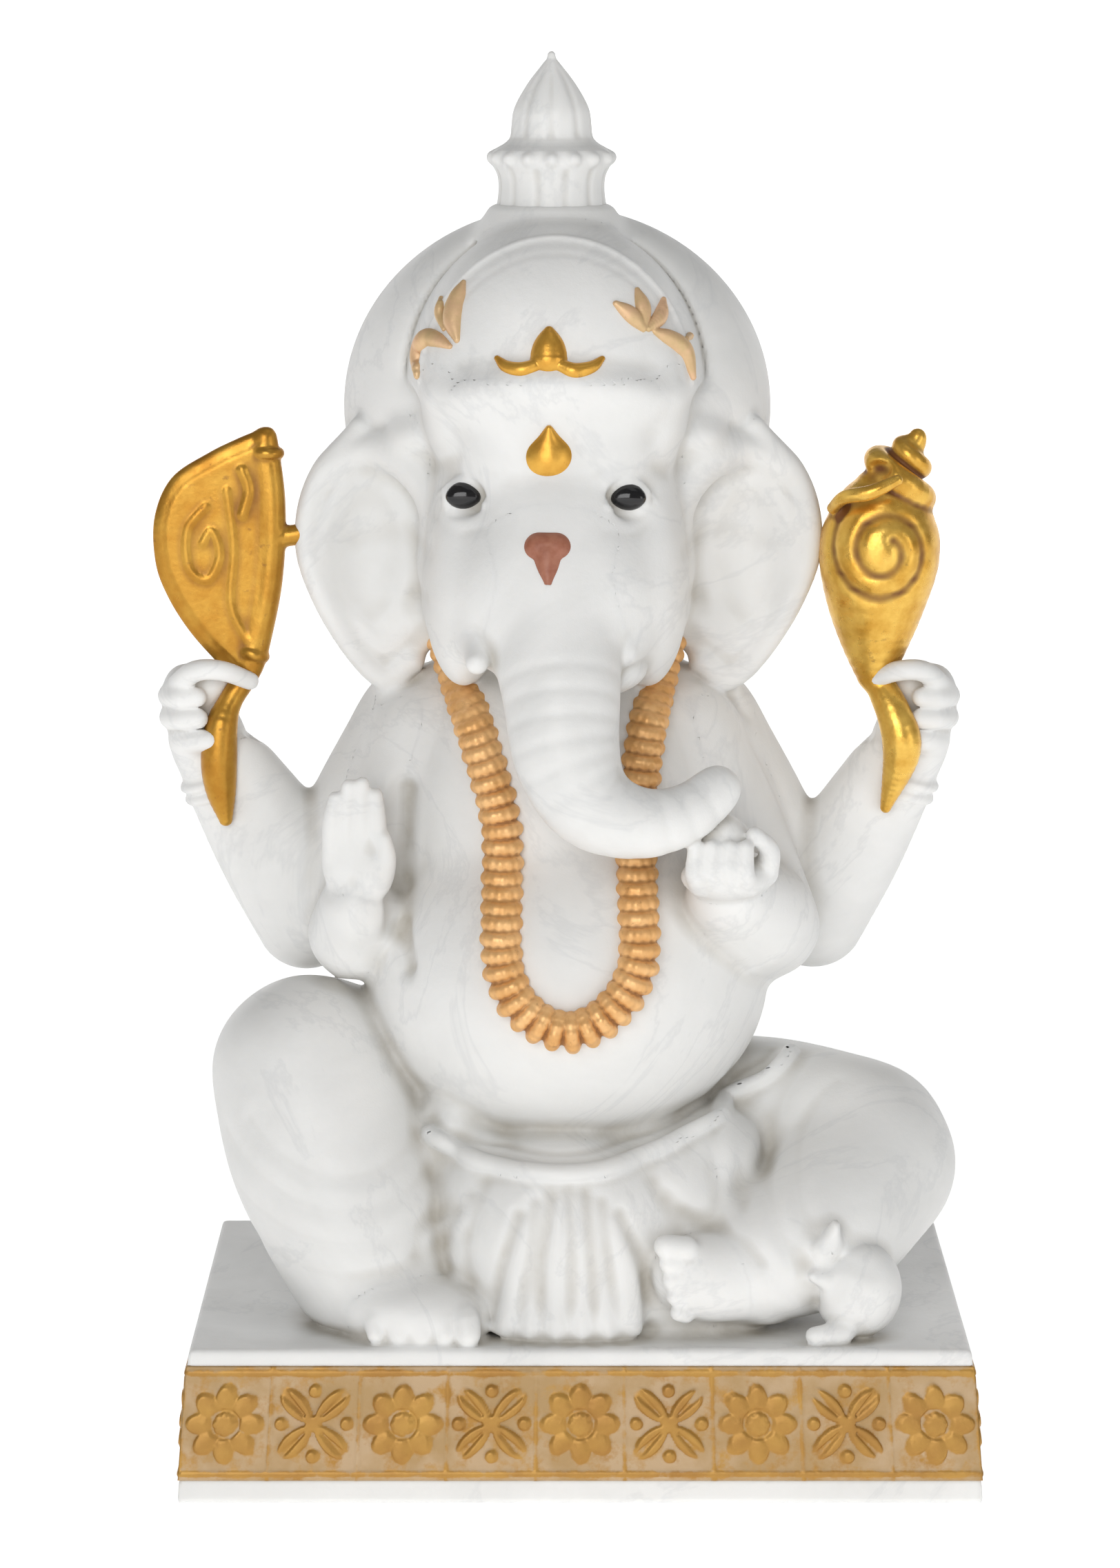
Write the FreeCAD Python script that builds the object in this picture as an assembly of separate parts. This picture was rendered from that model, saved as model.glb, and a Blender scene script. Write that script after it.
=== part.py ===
"""Seated four-armed elephant-headed devotional figure on a plinth, in white marble composite with gilt ornament.

Millimetres. +Z is up, the figure faces -Y, and the origin is the middle of the plinth's flat underside.
"right" and "left" in every name are the figure's own, so its right hand is on the -X side.
Each sculpted piece is built from round masses and limbs, then trimmed where its neighbour begins,
so that the pieces meet face to face as carved blocks do.
"""

import FreeCAD, Part
import math
import os

from FreeCAD import Vector

# ---------------------------------------------------------------- driving dimensions
plinth_width = 112.0        # at the underside, along X
plinth_depth = 76.0         # at the underside, along Y
plinth_height = 21.5
plinth_taper = 1.7          # how far each side leans in over the height
plinth_edge = 0.8           # rounding of the top edges
frieze_bottom = 3.2         # height of the carved band's lower edge
frieze_top = 19.2
frieze_sink = 0.8           # depth of the recess that the band is let into
frieze_proud = 0.5          # how far the band stands out of the plinth's face
figure_axis_x = -3.6        # the head and finial stand a little to the figure's right
finial_axis_y = 4.0
finial_tip = 199.0          # overall height
finial_foot = 175.0
ear_thickness = 6.0
garland_radius = 2.35
steel_pin_radius = 2.0      # the two plinth pins and the neck pin
small_pin_radius = 1.25     # shoulder and finial pins
fit_gap = 0.0               # pins are cemented, so bores match them

# ---------------------------------------------------------------- shape helpers
RING_POINTS = 12
CAP_STEPS = (0.0, 0.38, 0.72, 0.92, 0.985, 0.999)
HAIRS = [(0, 0, 0)] + [(0.02 * math.cos(2.4 * i), 0.02 * math.sin(2.4 * i), 0.004 * i) for i in range(1, 9)]


def ring(centre, across, along, radius_a, radius_b, halves=2):
    """One closed smooth section, an ellipse with its half-widths along two directions.

    Long limbs are skinned in two halves, so that neither skin wraps on to itself.
    """
    points = []
    for i in range(RING_POINTS):
        turn = 2 * math.pi * i / RING_POINTS
        points.append(centre + across * (radius_a * math.cos(turn)) + along * (radius_b * math.sin(turn)))
    curve = Part.BSplineCurve()
    curve.interpolate(Points=points, PeriodicFlag=True)
    turn = (curve.LastParameter - curve.FirstParameter) / halves
    return Part.Wire([curve.toShape(turn * i, turn * (i + 1)) for i in range(halves)])


def mass(centre, radii, axis=(0, 0, 1), angle=0.0):
    """A rounded mass: an ellipsoid, turned by angle degrees about axis."""
    turn = FreeCAD.Rotation(Vector(*axis), angle)
    across, along, up = (turn.multVec(Vector(*v)) for v in ((1, 0, 0), (0, 1, 0), (0, 0, 1)))
    middle = Vector(*centre)
    heights = sorted({sign * h for h in CAP_STEPS for sign in (-1, 1)})
    rings = []
    for h in heights:
        girth = math.sqrt(1 - h * h)
        rings.append(ring(middle + up * (radii[2] * h), across, along, radii[0] * girth, radii[1] * girth, 1))
    return Part.makeLoft(rings, True, False)


def through(values, place):
    """A smooth value between the entries of a list, at a place counted in entries (Catmull-Rom)."""
    last = len(values) - 1
    i = min(int(place), last - 1)
    t = place - i
    a, b, c, d = (values[min(max(k, 0), last)] for k in (i - 1, i, i + 1, i + 2))
    return b + (c - a) * (t / 2) + (a * 2 - b * 5 + c * 4 - d) * (t * t / 2) + (b * 3 - a - c * 3 + d) * (t ** 3 / 2)


def skin(masses, x, z):
    """The most forward y of a group of upright (centre, radii) masses, at one place seen from the front."""
    fronts = []
    for (cx, cy, cz), (rx, ry, rz) in masses:
        inside = 1 - ((x - cx) / rx) ** 2 - ((z - cz) / rz) ** 2
        if inside > 0:
            fronts.append(cy - ry * math.sqrt(inside))
    return min(fronts)


def limb(stations, flatness=1.0, wide=(1, 0, 0), steps=3, halves=2):
    """A round-ended limb through (x, y, z, radius) stations. flatness thins it across the wide direction."""
    points = [Vector(*s[:3]) for s in stations]
    radii = [s[3] for s in stations]
    count = steps * (len(stations) - 1)
    places = [i / steps for i in range(count + 1)]
    middles = [through(points, p) for p in places]
    girths = [through(radii, p) for p in places]
    tangents = []
    for i in range(count + 1):
        tangents.append((middles[min(i + 1, count)] - middles[max(i - 1, 0)]).normalize())
    side = Vector(*wide)
    sections = []
    for middle, girth, tangent in zip(middles, girths, tangents):
        side = (side - tangent * side.dot(tangent)).normalize()
        sections.append((middle, side, tangent.cross(side), girth))
    first, last = sections[0], sections[-1]
    head = [(first[0] - tangents[0] * (first[3] * h), *first[1:3], first[3] * math.sqrt(1 - h * h))
            for h in reversed(CAP_STEPS[1:])]
    tail = [(last[0] + tangents[-1] * (last[3] * h), *last[1:3], last[3] * math.sqrt(1 - h * h))
            for h in CAP_STEPS[1:]]
    rings = [ring(m, a, b, r, r * flatness, halves) for m, a, b, r in head + sections + tail]
    return Part.makeLoft(rings, True, False)


def turned(profile, foot, axis=(0, 0, 1)):
    """A turned piece: (height, radius) points joined by a smooth curve, spun about an axis through foot."""
    curve = Part.BSplineCurve()
    curve.interpolate([Vector(r, 0, h) for h, r in profile])
    low, high = profile[0], profile[-1]
    edges = [curve.toShape()]
    if high[1] > 0:
        edges.append(Part.makeLine(Vector(high[1], 0, high[0]), Vector(0, 0, high[0])))
    edges.append(Part.makeLine(Vector(0, 0, high[0]), Vector(0, 0, low[0])))
    if low[1] > 0:
        edges.append(Part.makeLine(Vector(0, 0, low[0]), Vector(low[1], 0, low[0])))
    solid = Part.Face(Part.Wire(edges)).revolve(Vector(0, 0, 0), Vector(0, 0, 1), 360)
    solid.Placement = FreeCAD.Placement(Vector(*foot), FreeCAD.Rotation(Vector(0, 0, 1), Vector(*axis)))
    return solid


def sound(shape, least, most):
    """Whether a boolean gave one valid solid of a believable volume."""
    return len(shape.Solids) == 1 and shape.isValid() and least <= shape.Volume <= most


def joined(*shapes):
    """Shapes fused into one solid. Where two curved skins nearly coincide, the newcomer is moved by a hair."""
    whole = shapes[0]
    for shape in shapes[1:]:
        least, most = max(whole.Volume, shape.Volume) * 0.999, (whole.Volume + shape.Volume) * 1.001
        trials = (whole.fuse(shape.translated(Vector(*hair))) for hair in HAIRS)
        whole = next(trial for trial in trials if sound(trial, least, most))
    return whole


def cuts(shape, tools):
    """Ways to cut the same tools from a shape: all at once or one after another, with the shape moved by a hair."""
    for hair in HAIRS:
        moved = shape.translated(Vector(*hair))
        yield moved.cut(tools)
        for tool in tools:
            moved = moved.cut(tool)
        yield moved


def trimmed(shape, *neighbours):
    """A piece with its neighbours' space taken out, keeping only its largest lump."""
    near = [n for n in neighbours if shape.BoundBox.intersect(n.BoundBox)]
    if not near:
        return shape
    lumps = (max(cut.Solids, key=lambda s: s.Volume) for cut in cuts(shape, near) if cut.Solids)
    return next(lump for lump in lumps if sound(lump, 0.001 * shape.Volume, 1.001 * shape.Volume))


def pin(low, high, radius):
    """A straight round dowel between two points."""
    start, end = Vector(*low), Vector(*high)
    return Part.makeCylinder(radius, (end - start).Length, start, end - start)


def slab(outline, y_front, y_back):
    """A flat plate in the XZ plane: a closed smooth outline of (x, z) points, from y_front to y_back."""
    curve = Part.BSplineCurve()
    curve.interpolate(Points=[Vector(x, y_front, z) for x, z in outline], PeriodicFlag=True)
    return Part.Face(Part.Wire([curve.toShape()])).extrude(Vector(0, y_back - y_front, 0))


def pillow(outline, y_middle, half_thickness, bulge=0.8):
    """A soft-edged plate: the outline shrinks towards its middle as it nears either face."""
    cx = sum(p[0] for p in outline) / len(outline)
    cz = sum(p[1] for p in outline) / len(outline)
    wires = []
    for h in (-0.999, -0.93, -0.7, -0.35, 0.0, 0.35, 0.7, 0.93, 0.999):
        shrink = (1 - abs(h) ** 3) ** 0.5 * bulge + (1 - bulge)
        points = [Vector(cx + (x - cx) * shrink, y_middle + half_thickness * h, cz + (z - cz) * shrink)
                  for x, z in outline]
        curve = Part.BSplineCurve()
        curve.interpolate(Points=points, PeriodicFlag=True)
        wires.append(Part.Wire([curve.toShape()]))
    return Part.makeLoft(wires, True, False)


# ---------------------------------------------------------------- plinth
def plinth_core(offset, low, high):
    """The plinth's tapering block between two heights, with its sides moved out by offset."""
    wires = []
    for z in (low, high):
        lean = plinth_taper * z / plinth_height
        half_x = plinth_width / 2 - lean + offset
        half_y = plinth_depth / 2 - lean + offset
        corners = [Vector(sx * half_x, sy * half_y, z) for sx, sy in ((-1, -1), (1, -1), (1, 1), (-1, 1))]
        wires.append(Part.makePolygon(corners + corners[:1]))
    return Part.makeLoft(wires, True, True)


def plinth_shape():
    block = plinth_core(0.0, 0.0, plinth_height)
    top_edges = [e for e in block.Edges if e.CenterOfMass.z > plinth_height - 0.01]
    block = block.makeFillet(plinth_edge, top_edges)
    recess = plinth_core(5.0, frieze_bottom, frieze_top).cut(plinth_core(-frieze_sink, -1.0, plinth_height + 1.0))
    back = Part.makeBox(plinth_width, 20, plinth_height, Vector(-plinth_width / 2, plinth_depth / 2 - 8, 0))
    return block.cut(recess.cut(back))


def frieze_ring():
    """The carved band as one hoop round the front and both sides, before it is cut at the corners."""
    hoop = plinth_core(frieze_proud, frieze_bottom, frieze_top)
    hoop = hoop.cut(plinth_core(-frieze_sink, -1.0, plinth_height + 1.0))
    back = Part.makeBox(plinth_width + 9, 20, plinth_height, Vector(-plinth_width / 2 - 4, plinth_depth / 2 - 8, 0))
    return hoop.cut(back)


def frieze_pieces():
    """Front, right and left bands, mitred at the two front corners."""
    hoop = frieze_ring()
    reach = 200.0
    corner_x, corner_y = plinth_width / 2, -plinth_depth / 2
    wedge = Part.Face(Part.makePolygon([
        Vector(-corner_x, corner_y, 0), Vector(-corner_x - reach, corner_y - reach, 0),
        Vector(corner_x + reach, corner_y - reach, 0), Vector(corner_x, corner_y, 0),
        Vector(0, corner_y + corner_x, 0), Vector(-corner_x, corner_y, 0)])).extrude(Vector(0, 0, plinth_height))
    front = hoop.common(wedge)
    sides = hoop.cut(wedge)
    right, left = sorted(sides.Solids, key=lambda s: s.CenterOfMass.x)
    return front.Solids[0], right, left


# ---------------------------------------------------------------- trunk of the body, and its clothing
seat_plane = Part.makeBox(200, 200, 60, Vector(-100, -100, plinth_height - 60))


TORSO_MASSES = (
    ((-1.8, -5.5, 68.5), (29.0, 26.5, 24.0)),       # belly
    ((-2.0, 4.0, 40.0), (26.0, 21.0, 23.0)),        # hips
    ((-3.0, -1.5, 92.0), (23.5, 20.0, 24.0)),       # chest
    ((-3.0, 3.5, 102.5), (28.0, 13.0, 13.5)),       # shoulders
)


def torso_shape():
    return joined(*(mass(centre, radii) for centre, radii in TORSO_MASSES)).cut(seat_plane)


def sash_shape():
    """The rolled top of the waist cloth, tucked under the belly's overhang."""
    stations = []
    for angle in range(-72, 73, 24):
        turn = math.radians(angle)
        lift = 47.0 - 3.0 * math.cos(turn)
        stations.append((-2.0 + 27.5 * math.sin(turn), 3.0 - 23.5 * math.cos(turn), lift, 4.4))
    return limb(stations)


def pleats_shape():
    """The folded cloth end that hangs between the legs on to the plinth."""
    cloth = limb([(-2.0, -24.5, 45, 9.6), (-2.0, -27.0, 38, 10.0), (-1.8, -28.5, 31, 11.0), (-1.6, -30.5, 23.5, 12.2)],
                 flatness=0.36)
    return cloth.cut(seat_plane)


# ---------------------------------------------------------------- legs
def right_leg_shape():
    """Knee raised: the thigh comes forward and up, and the draped shin goes down to the plinth."""
    thigh = limb([(-14, 8, 42, 14.5), (-28, 0, 50, 14.0), (-38.5, -8, 55.5, 13.2)])
    shin = limb([(-39, -10, 55, 13.6), (-36, -14, 45, 14.2), (-31.5, -18, 35, 13.4), (-28.5, -20, 27, 11.8)])
    return joined(thigh, shin).cut(seat_plane)


def right_foot_shape():
    sole = limb([(-33, -25, 26.0, 5.0), (-26, -28, 25.6, 4.7), (-19.5, -30.5, 24.6, 4.0)], flatness=0.95)
    toes = [limb([(-19.8, -33.9 + 1.75 * i, 24.2, 0.84), (-14.8, -34.6 + 1.85 * i, 23.4, 0.84)], halves=1)
            for i in range(5)]
    return joined(sole, *toes).cut(seat_plane)


def left_leg_shape():
    """Folded flat: the thigh goes out to the side, and the shin returns to the front."""
    thigh = limb([(12, 8, 41, 15.0), (27, 2, 43.5, 13.8), (40, -7, 43.0, 13.2)])
    shin = limb([(41, -9, 41.5, 13.0), (34, -20, 35, 11.5), (26, -25, 31.5, 9.5)])
    return joined(thigh, shin).cut(seat_plane)


def left_foot_shape():
    sole = limb([(27, -28, 29.5, 6.0), (21, -30, 29.8, 6.2), (16, -31, 30.5, 5.6)], flatness=0.72, wide=(0, 0, 1))
    toes = [limb([(15.2, -31.8, 34.6 - 2.1 * i, 1.0), (11.4 + 0.4 * i, -32.4, 34.9 - 2.2 * i, 1.0)], halves=1)
            for i in range(5)]
    return joined(sole, *toes).cut(seat_plane)


# ---------------------------------------------------------------- arms and hands
def arm(shoulder, elbow, wrist, upper_radii, lower_radii):
    """An upper arm and a forearm that share a round elbow. Each pair of radii runs from top to bottom."""
    bulge = [(s + e) / 2 for s, e in zip(shoulder, elbow)]
    upper = limb([(*shoulder, upper_radii[0]), (*bulge, sum(upper_radii) / 2 + 0.4), (*elbow, upper_radii[1])])
    calf = [e + (w - e) * 0.4 for e, w in zip(elbow, wrist)]
    lower = limb([(*elbow, lower_radii[0]), (*calf, sum(lower_radii) / 2 + 0.5), (*wrist, lower_radii[1])])
    return joined(upper, lower)


def rear_right_arm_shape():
    return arm((-24, 5, 103), (-37.0, 4, 79.0), (-49.0, 2.5, 98.5), (8.2, 7.6), (7.2, 4.4))


def rear_left_arm_shape():
    return arm((18, 6, 103), (32.0, 5, 77.0), (44.0, 2.8, 98.5), (8.0, 7.4), (7.0, 4.3))


def fingers(knuckles, tips, lift, count=4):
    """A row of separate fingers between two lines. Each arches forward by lift."""
    pitch = math.dist(*knuckles) / (count - 1)
    made = []
    for i in range(count):
        t = i / (count - 1)
        base = [p + (q - p) * t for p, q in zip(*knuckles)]
        tip = [p + (q - p) * t for p, q in zip(*tips)]
        arch = [(p + q) / 2 for p, q in zip(base, tip)]
        arch[1] -= lift
        made.append(limb([(*base, 0.47 * pitch), (*arch, 0.46 * pitch), (*tip, 0.40 * pitch)], steps=2, halves=1))
    return made


def rear_right_hand_shape():
    """Palm behind the axe's shaft, with the fingers closed round its front."""
    palm = mass((-53.4, 3.0, 102.6), (8.2, 3.6, 6.2), (0, 1, 0), 38)
    closed = fingers(((-58.8, 2.4, 101.6), (-54.0, 2.4, 109.2)), ((-49.0, -4.8, 102.8), (-47.2, -4.6, 109.8)), 4.4)
    return joined(palm, *closed)


def rear_left_hand_shape():
    palm = mass((47.6, 3.2, 102.6), (8.0, 3.6, 6.2), (0, 1, 0), -38)
    closed = fingers(((52.4, 2.4, 101.6), (48.0, 2.4, 109.2)), ((43.6, -4.8, 102.8), (42.0, -4.6, 109.8)), 4.4)
    return joined(palm, *closed)


def front_right_arm_shape():
    return arm((-22.0, -2, 101), (-30.0, -6, 77.5), (-30.6, -15.0, 80.0), (8.0, 7.0), (6.4, 5.0))


def front_right_hand_shape():
    """Raised open, palm forward, in the sign of reassurance."""
    palm = mass((-30.6, -16.4, 84.8), (5.8, 3.1, 6.4))
    upright = fingers(((-34.6, -16.4, 87.6), (-26.8, -16.4, 87.6)), ((-34.4, -17.8, 93.0), (-27.2, -17.6, 93.4)), 0.4)
    thumb = limb([(-26.8, -17.0, 81.4, 1.6), (-24.6, -18.8, 83.2, 1.4), (-23.9, -19.8, 85.4, 1.1)], halves=1)
    return joined(palm, thumb, *upright)


def front_left_arm_shape():
    return arm((15.5, -2, 101), (26.6, -8, 76.0), (20.8, -24.0, 83.6), (8.2, 7.6), (7.2, 5.2))


def front_left_hand_shape():
    """Cupped under the sweet, which the trunk reaches for."""
    palm = mass((19.6, -27.0, 87.6), (6.4, 5.2, 3.6), (0, 1, 0), 20)
    cupped = fingers(((14.6, -29.4, 86.4), (22.2, -31.0, 86.4)), ((13.8, -31.4, 90.8), (21.6, -33.2, 90.8)), 1.2)
    thumb = limb([(24.4, -26.4, 87.0, 1.6), (26.0, -28.4, 89.8, 1.4), (25.4, -29.8, 92.0, 1.1)], halves=1)
    return joined(palm, thumb, *cupped)


def sweet_shape():
    """A small pleated dumpling with a drawn-up point."""
    return turned([(-3.0, 2.6), (-1.6, 4.1), (0.6, 4.3), (2.2, 3.2), (3.2, 1.6), (4.4, 0.5)], (19.2, -28.4, 92.2))


# ---------------------------------------------------------------- head
HEAD_MASSES = (
    ((-3.4, -4.0, 137.0), (18.2, 20.0, 21.5)),      # skull
    ((-8.2, -11.5, 144.5), (10.6, 11.2, 10.6)),     # right brow
    ((1.4, -11.5, 144.5), (10.6, 11.2, 10.6)),      # left brow
    ((-12.6, -10.5, 126.0), (7.8, 10.5, 11.0)),     # right cheek
    ((6.0, -10.5, 126.0), (7.8, 10.5, 11.0)),       # left cheek
    ((-3.2, 3.0, 115.0), (15.5, 13.5, 13.0)),       # neck
)


def head_shape():
    return joined(*(mass(centre, radii) for centre, radii in HEAD_MASSES))


def trunk_shape():
    """From between the eyes down the chest, then curling to the figure's left hand."""
    return limb([(-3.6, -15.0, 131, 12.0), (-3.4, -22.5, 121, 9.6), (-2.6, -28.5, 112, 8.2), (-1.8, -32.0, 104, 7.4),
                 (1.6, -33.8, 97.6, 6.2), (8.4, -34.2, 95.2, 5.0), (14.6, -32.8, 96.4, 4.2), (18.8, -30.6, 99.4, 3.6)],
                steps=4)


def ear_shape(side):
    """A broad fan-shaped ear. side is -1 for the figure's right, 1 for its left."""
    root, tip = (-19.0, -39.6) if side < 0 else (12.4, 33.6)
    width = abs(tip - root)

    def point(outward, z):
        return (root + side * width * outward, z)

    outline = [point(-0.12, 141.0), point(0.22, 146.0), point(0.62, 144.6), point(0.93, 137.6), point(1.0, 129.6),
               point(0.86, 121.4), point(0.62, 113.2), point(0.44, 109.4), point(0.20, 112.4), point(-0.10, 120.0)]
    plate = pillow(outline, 1.0, ear_thickness / 2, 0.45)
    hollow = mass((root + side * width * 0.55, -5.2, 128.5), (width * 0.36, 5.2, 13.0))
    return plate.cut(hollow)


def tusk_shape(side):
    """The figure's right tusk is whole and its left one is broken short."""
    root_x = figure_axis_x + side * 9.0
    length = 1.0 if side < 0 else 0.55
    return limb([(root_x, -19.0, 121.0, 2.4), (root_x + side * 1.2, -22.5, 118.6, 2.2),
                 (root_x + side * 1.6 * length, -22.5 - 5.0 * length, 118.6 - 2.2 * length, 1.6)])


def on_face(x, z, radii, proud=0.4):
    """A small mass let into the face, with its middle proud of the skin."""
    return mass((x, skin(HEAD_MASSES, x, z) - proud, z), radii)


def eye_shape(side):
    return on_face(-4.7 + side * 11.2, 138.4, (1.9, 1.4, 1.75))


def tilak_shape():
    """The drop-shaped forehead jewel."""
    stations = [(-4.3, 142.9, 2.7), (-4.3, 145.2, 1.8), (-4.3, 147.2, 0.8)]
    return limb([(x, skin(HEAD_MASSES, x, z) - 0.4, z, r) for x, z, r in stations], flatness=0.6, halves=1)


def bindi_shape():
    return mass((-4.4, -27.2, 131.8), (2.2, 1.3, 2.2))


# ---------------------------------------------------------------- crown
DOME_MASS = ((-3.2, 9.0, 148.5), (30.6, 22.5, 28.4))
ARCH_MASS = ((-3.4, -3.6, 152.4), (21.0, 19.0, 23.4))


def crown_dome_shape():
    """The large rounded cap that rises behind the face and ears."""
    return mass(*DOME_MASS)


def crown_front_shape():
    """The arched front plate of the crown, above the forehead."""
    below = Part.makeBox(80, 80, 40, Vector(-40, -60, 112.6))
    return mass(*ARCH_MASS).cut(below)


def crown_band_shape():
    """The rolled hem of the crown across the forehead."""
    stations = []
    for i in range(-3, 4):
        x, z = figure_axis_x + 5.4 * i, 154.4 - 0.28 * i * i
        stations.append((x, skin((ARCH_MASS,) + HEAD_MASSES, x, z) - 0.5, z, 1.6))
    return limb(stations, steps=2)


def on_crown(x, z, length, girth, lean):
    """One raised gilt leaf on the crown, leaning sideways by lean degrees."""
    y = skin((ARCH_MASS, DOME_MASS), x, z) - 0.3
    return mass((x, y, z), (girth, 1.5, length), (0, 1, 0), lean)


def centre_jewel_shape():
    gem = mass((-4.3, skin((ARCH_MASS,), -4.3, 158.6) - 0.4, 158.6), (2.3, 2.0, 3.0))
    return joined(gem, on_crown(-8.4, 157.6, 3.4, 1.3, 80), on_crown(-0.2, 157.6, 3.4, 1.3, -80))


def right_leaves_shape():
    return Part.makeCompound([on_crown(-16.2, 163.6, 4.2, 1.5, -8), on_crown(-20.6, 157.3, 3.4, 1.4, 42)])


def left_leaves_shape():
    return Part.makeCompound([on_crown(5.8, 163.2, 3.2, 1.2, -22), on_crown(10.2, 163.4, 3.4, 1.2, 20),
                              on_crown(13.6, 156.8, 3.6, 1.4, -50)])


def finial_shape():
    """Turned pot-and-bud finial: a flared foot, a neck, a ring and a pointed bud."""
    foot_z = finial_foot
    bud = turned([(0.0, 8.4), (2.6, 7.9), (5.4, 7.2), (7.6, 7.3), (8.6, 8.3), (9.9, 8.4), (10.9, 7.0), (12.0, 6.1),
                  (15.6, 5.5), (19.0, 4.6), (21.4, 2.9), (23.4, 0.9), (24.0, 0.15)],
                 (figure_axis_x - 0.4, finial_axis_y, foot_z))
    return bud


# ---------------------------------------------------------------- garland
def garland_shape():
    """The thick chest garland: down from the figure's right ear, round the belly, and up to its left ear."""
    route = [(-16.6, 111.0), (-12.6, 103.5), (-11.0, 94.0), (-10.8, 84.0), (-10.4, 74.5), (-7.2, 68.0), (-1.5, 65.4),
             (4.4, 68.0), (7.7, 74.5), (8.0, 84.0), (8.0, 94.0), (8.6, 103.5), (11.2, 111.0)]
    hung = [(x, skin(TORSO_MASSES, x, z) - 1.0, z, garland_radius) for x, z in route]
    over_right = (-19.6, 0.0, 118.0, garland_radius)
    over_left = (13.4, 0.0, 118.0, garland_radius)
    return limb([over_right] + hung + [over_left])


# ---------------------------------------------------------------- what the rear hands hold
def axe_shape():
    """Half-moon axe: the shaft runs along the straight edge, through the fist, and ends in a tapered tail."""
    shaft = limb([(-44.2, -0.8, 145.2, 1.5), (-43.7, -0.8, 134, 1.7), (-45.2, -1.2, 122, 2.0), (-49.0, -1.6, 111, 2.2),
                  (-51.6, -1.8, 103.5, 2.3), (-51.8, -1.6, 97, 2.1), (-50.6, -1.4, 90.0, 1.2)])
    blade = pillow([(-44.6, 145.0), (-50.2, 142.9), (-56.0, 139.4), (-60.2, 133.0), (-60.6, 126.4), (-57.2, 119.0),
                    (-52.6, 112.2), (-49.6, 109.8), (-47.2, 114.0), (-44.8, 122.0), (-43.8, 130.0), (-43.6, 139.0)],
                   -0.8, 2.1, 0.35)
    spur = limb([(-43.6, -0.6, 133.4, 1.5), (-40.2, -0.2, 133.0, 1.3)])
    return joined(blade, shaft, spur)


def conch_shape():
    """Spired shell held upright, its long canal passing through the fist."""
    whorls = turned([(0.0, 2.6), (3.0, 3.4), (8.0, 4.8), (15.0, 6.8), (21.0, 8.2), (25.0, 8.6), (28.5, 7.6), (31.0, 5.2),
                     (33.0, 3.6)], (42.7, -1.6, 109.0))
    spire = limb([(44.0, -1.6, 139.0, 3.6), (46.0, -1.0, 142.6, 2.4), (46.6, -0.8, 145.0, 1.4)], halves=1)
    canal = limb([(43.2, -1.6, 112.0, 2.7), (45.4, -1.8, 104.5, 2.5), (46.6, -1.8, 98.5, 2.1), (45.0, -1.4, 91.4, 1.1)])
    return joined(whorls, spire, canal)


# ---------------------------------------------------------------- mouse
def mouse_shape():
    """The small mouse that sits on the plinth before the folded knee."""
    body = mass((38.6, -29.2, 28.6), (6.4, 5.6, 7.2), (0, 1, 0), -12)
    head = mass((33.6, -31.0, 35.0), (3.8, 3.4, 3.3), (0, 1, 0), -20)
    ears = [mass((35.4, -30.6 + 2.6 * s, 38.2), (0.9, 1.7, 1.9)) for s in (-1, 1)]
    paw = limb([(34.2, -33.0, 30.4, 1.5), (31.8, -33.8, 31.6, 1.3)])
    foot = limb([(36.8, -33.0, 23.2, 1.8), (32.4, -33.8, 22.8, 1.5)])
    return joined(body, head, *ears, paw, foot).cut(seat_plane)


# ---------------------------------------------------------------- hidden pins
def pins():
    """The steel dowels that hold the blocks together, by name."""
    return {
        "plinth_pin_right": pin((-12, 6, 11), (-12, 6, 33), steel_pin_radius),
        "plinth_pin_left": pin((8, 6, 11), (8, 6, 33), steel_pin_radius),
        "neck_pin": pin((-3.2, 3, 94), (-3.2, 3, 126), steel_pin_radius),
        "finial_pin": pin((figure_axis_x - 0.4, finial_axis_y, 166), (figure_axis_x - 0.4, finial_axis_y, 184),
                          small_pin_radius),
    }


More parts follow.
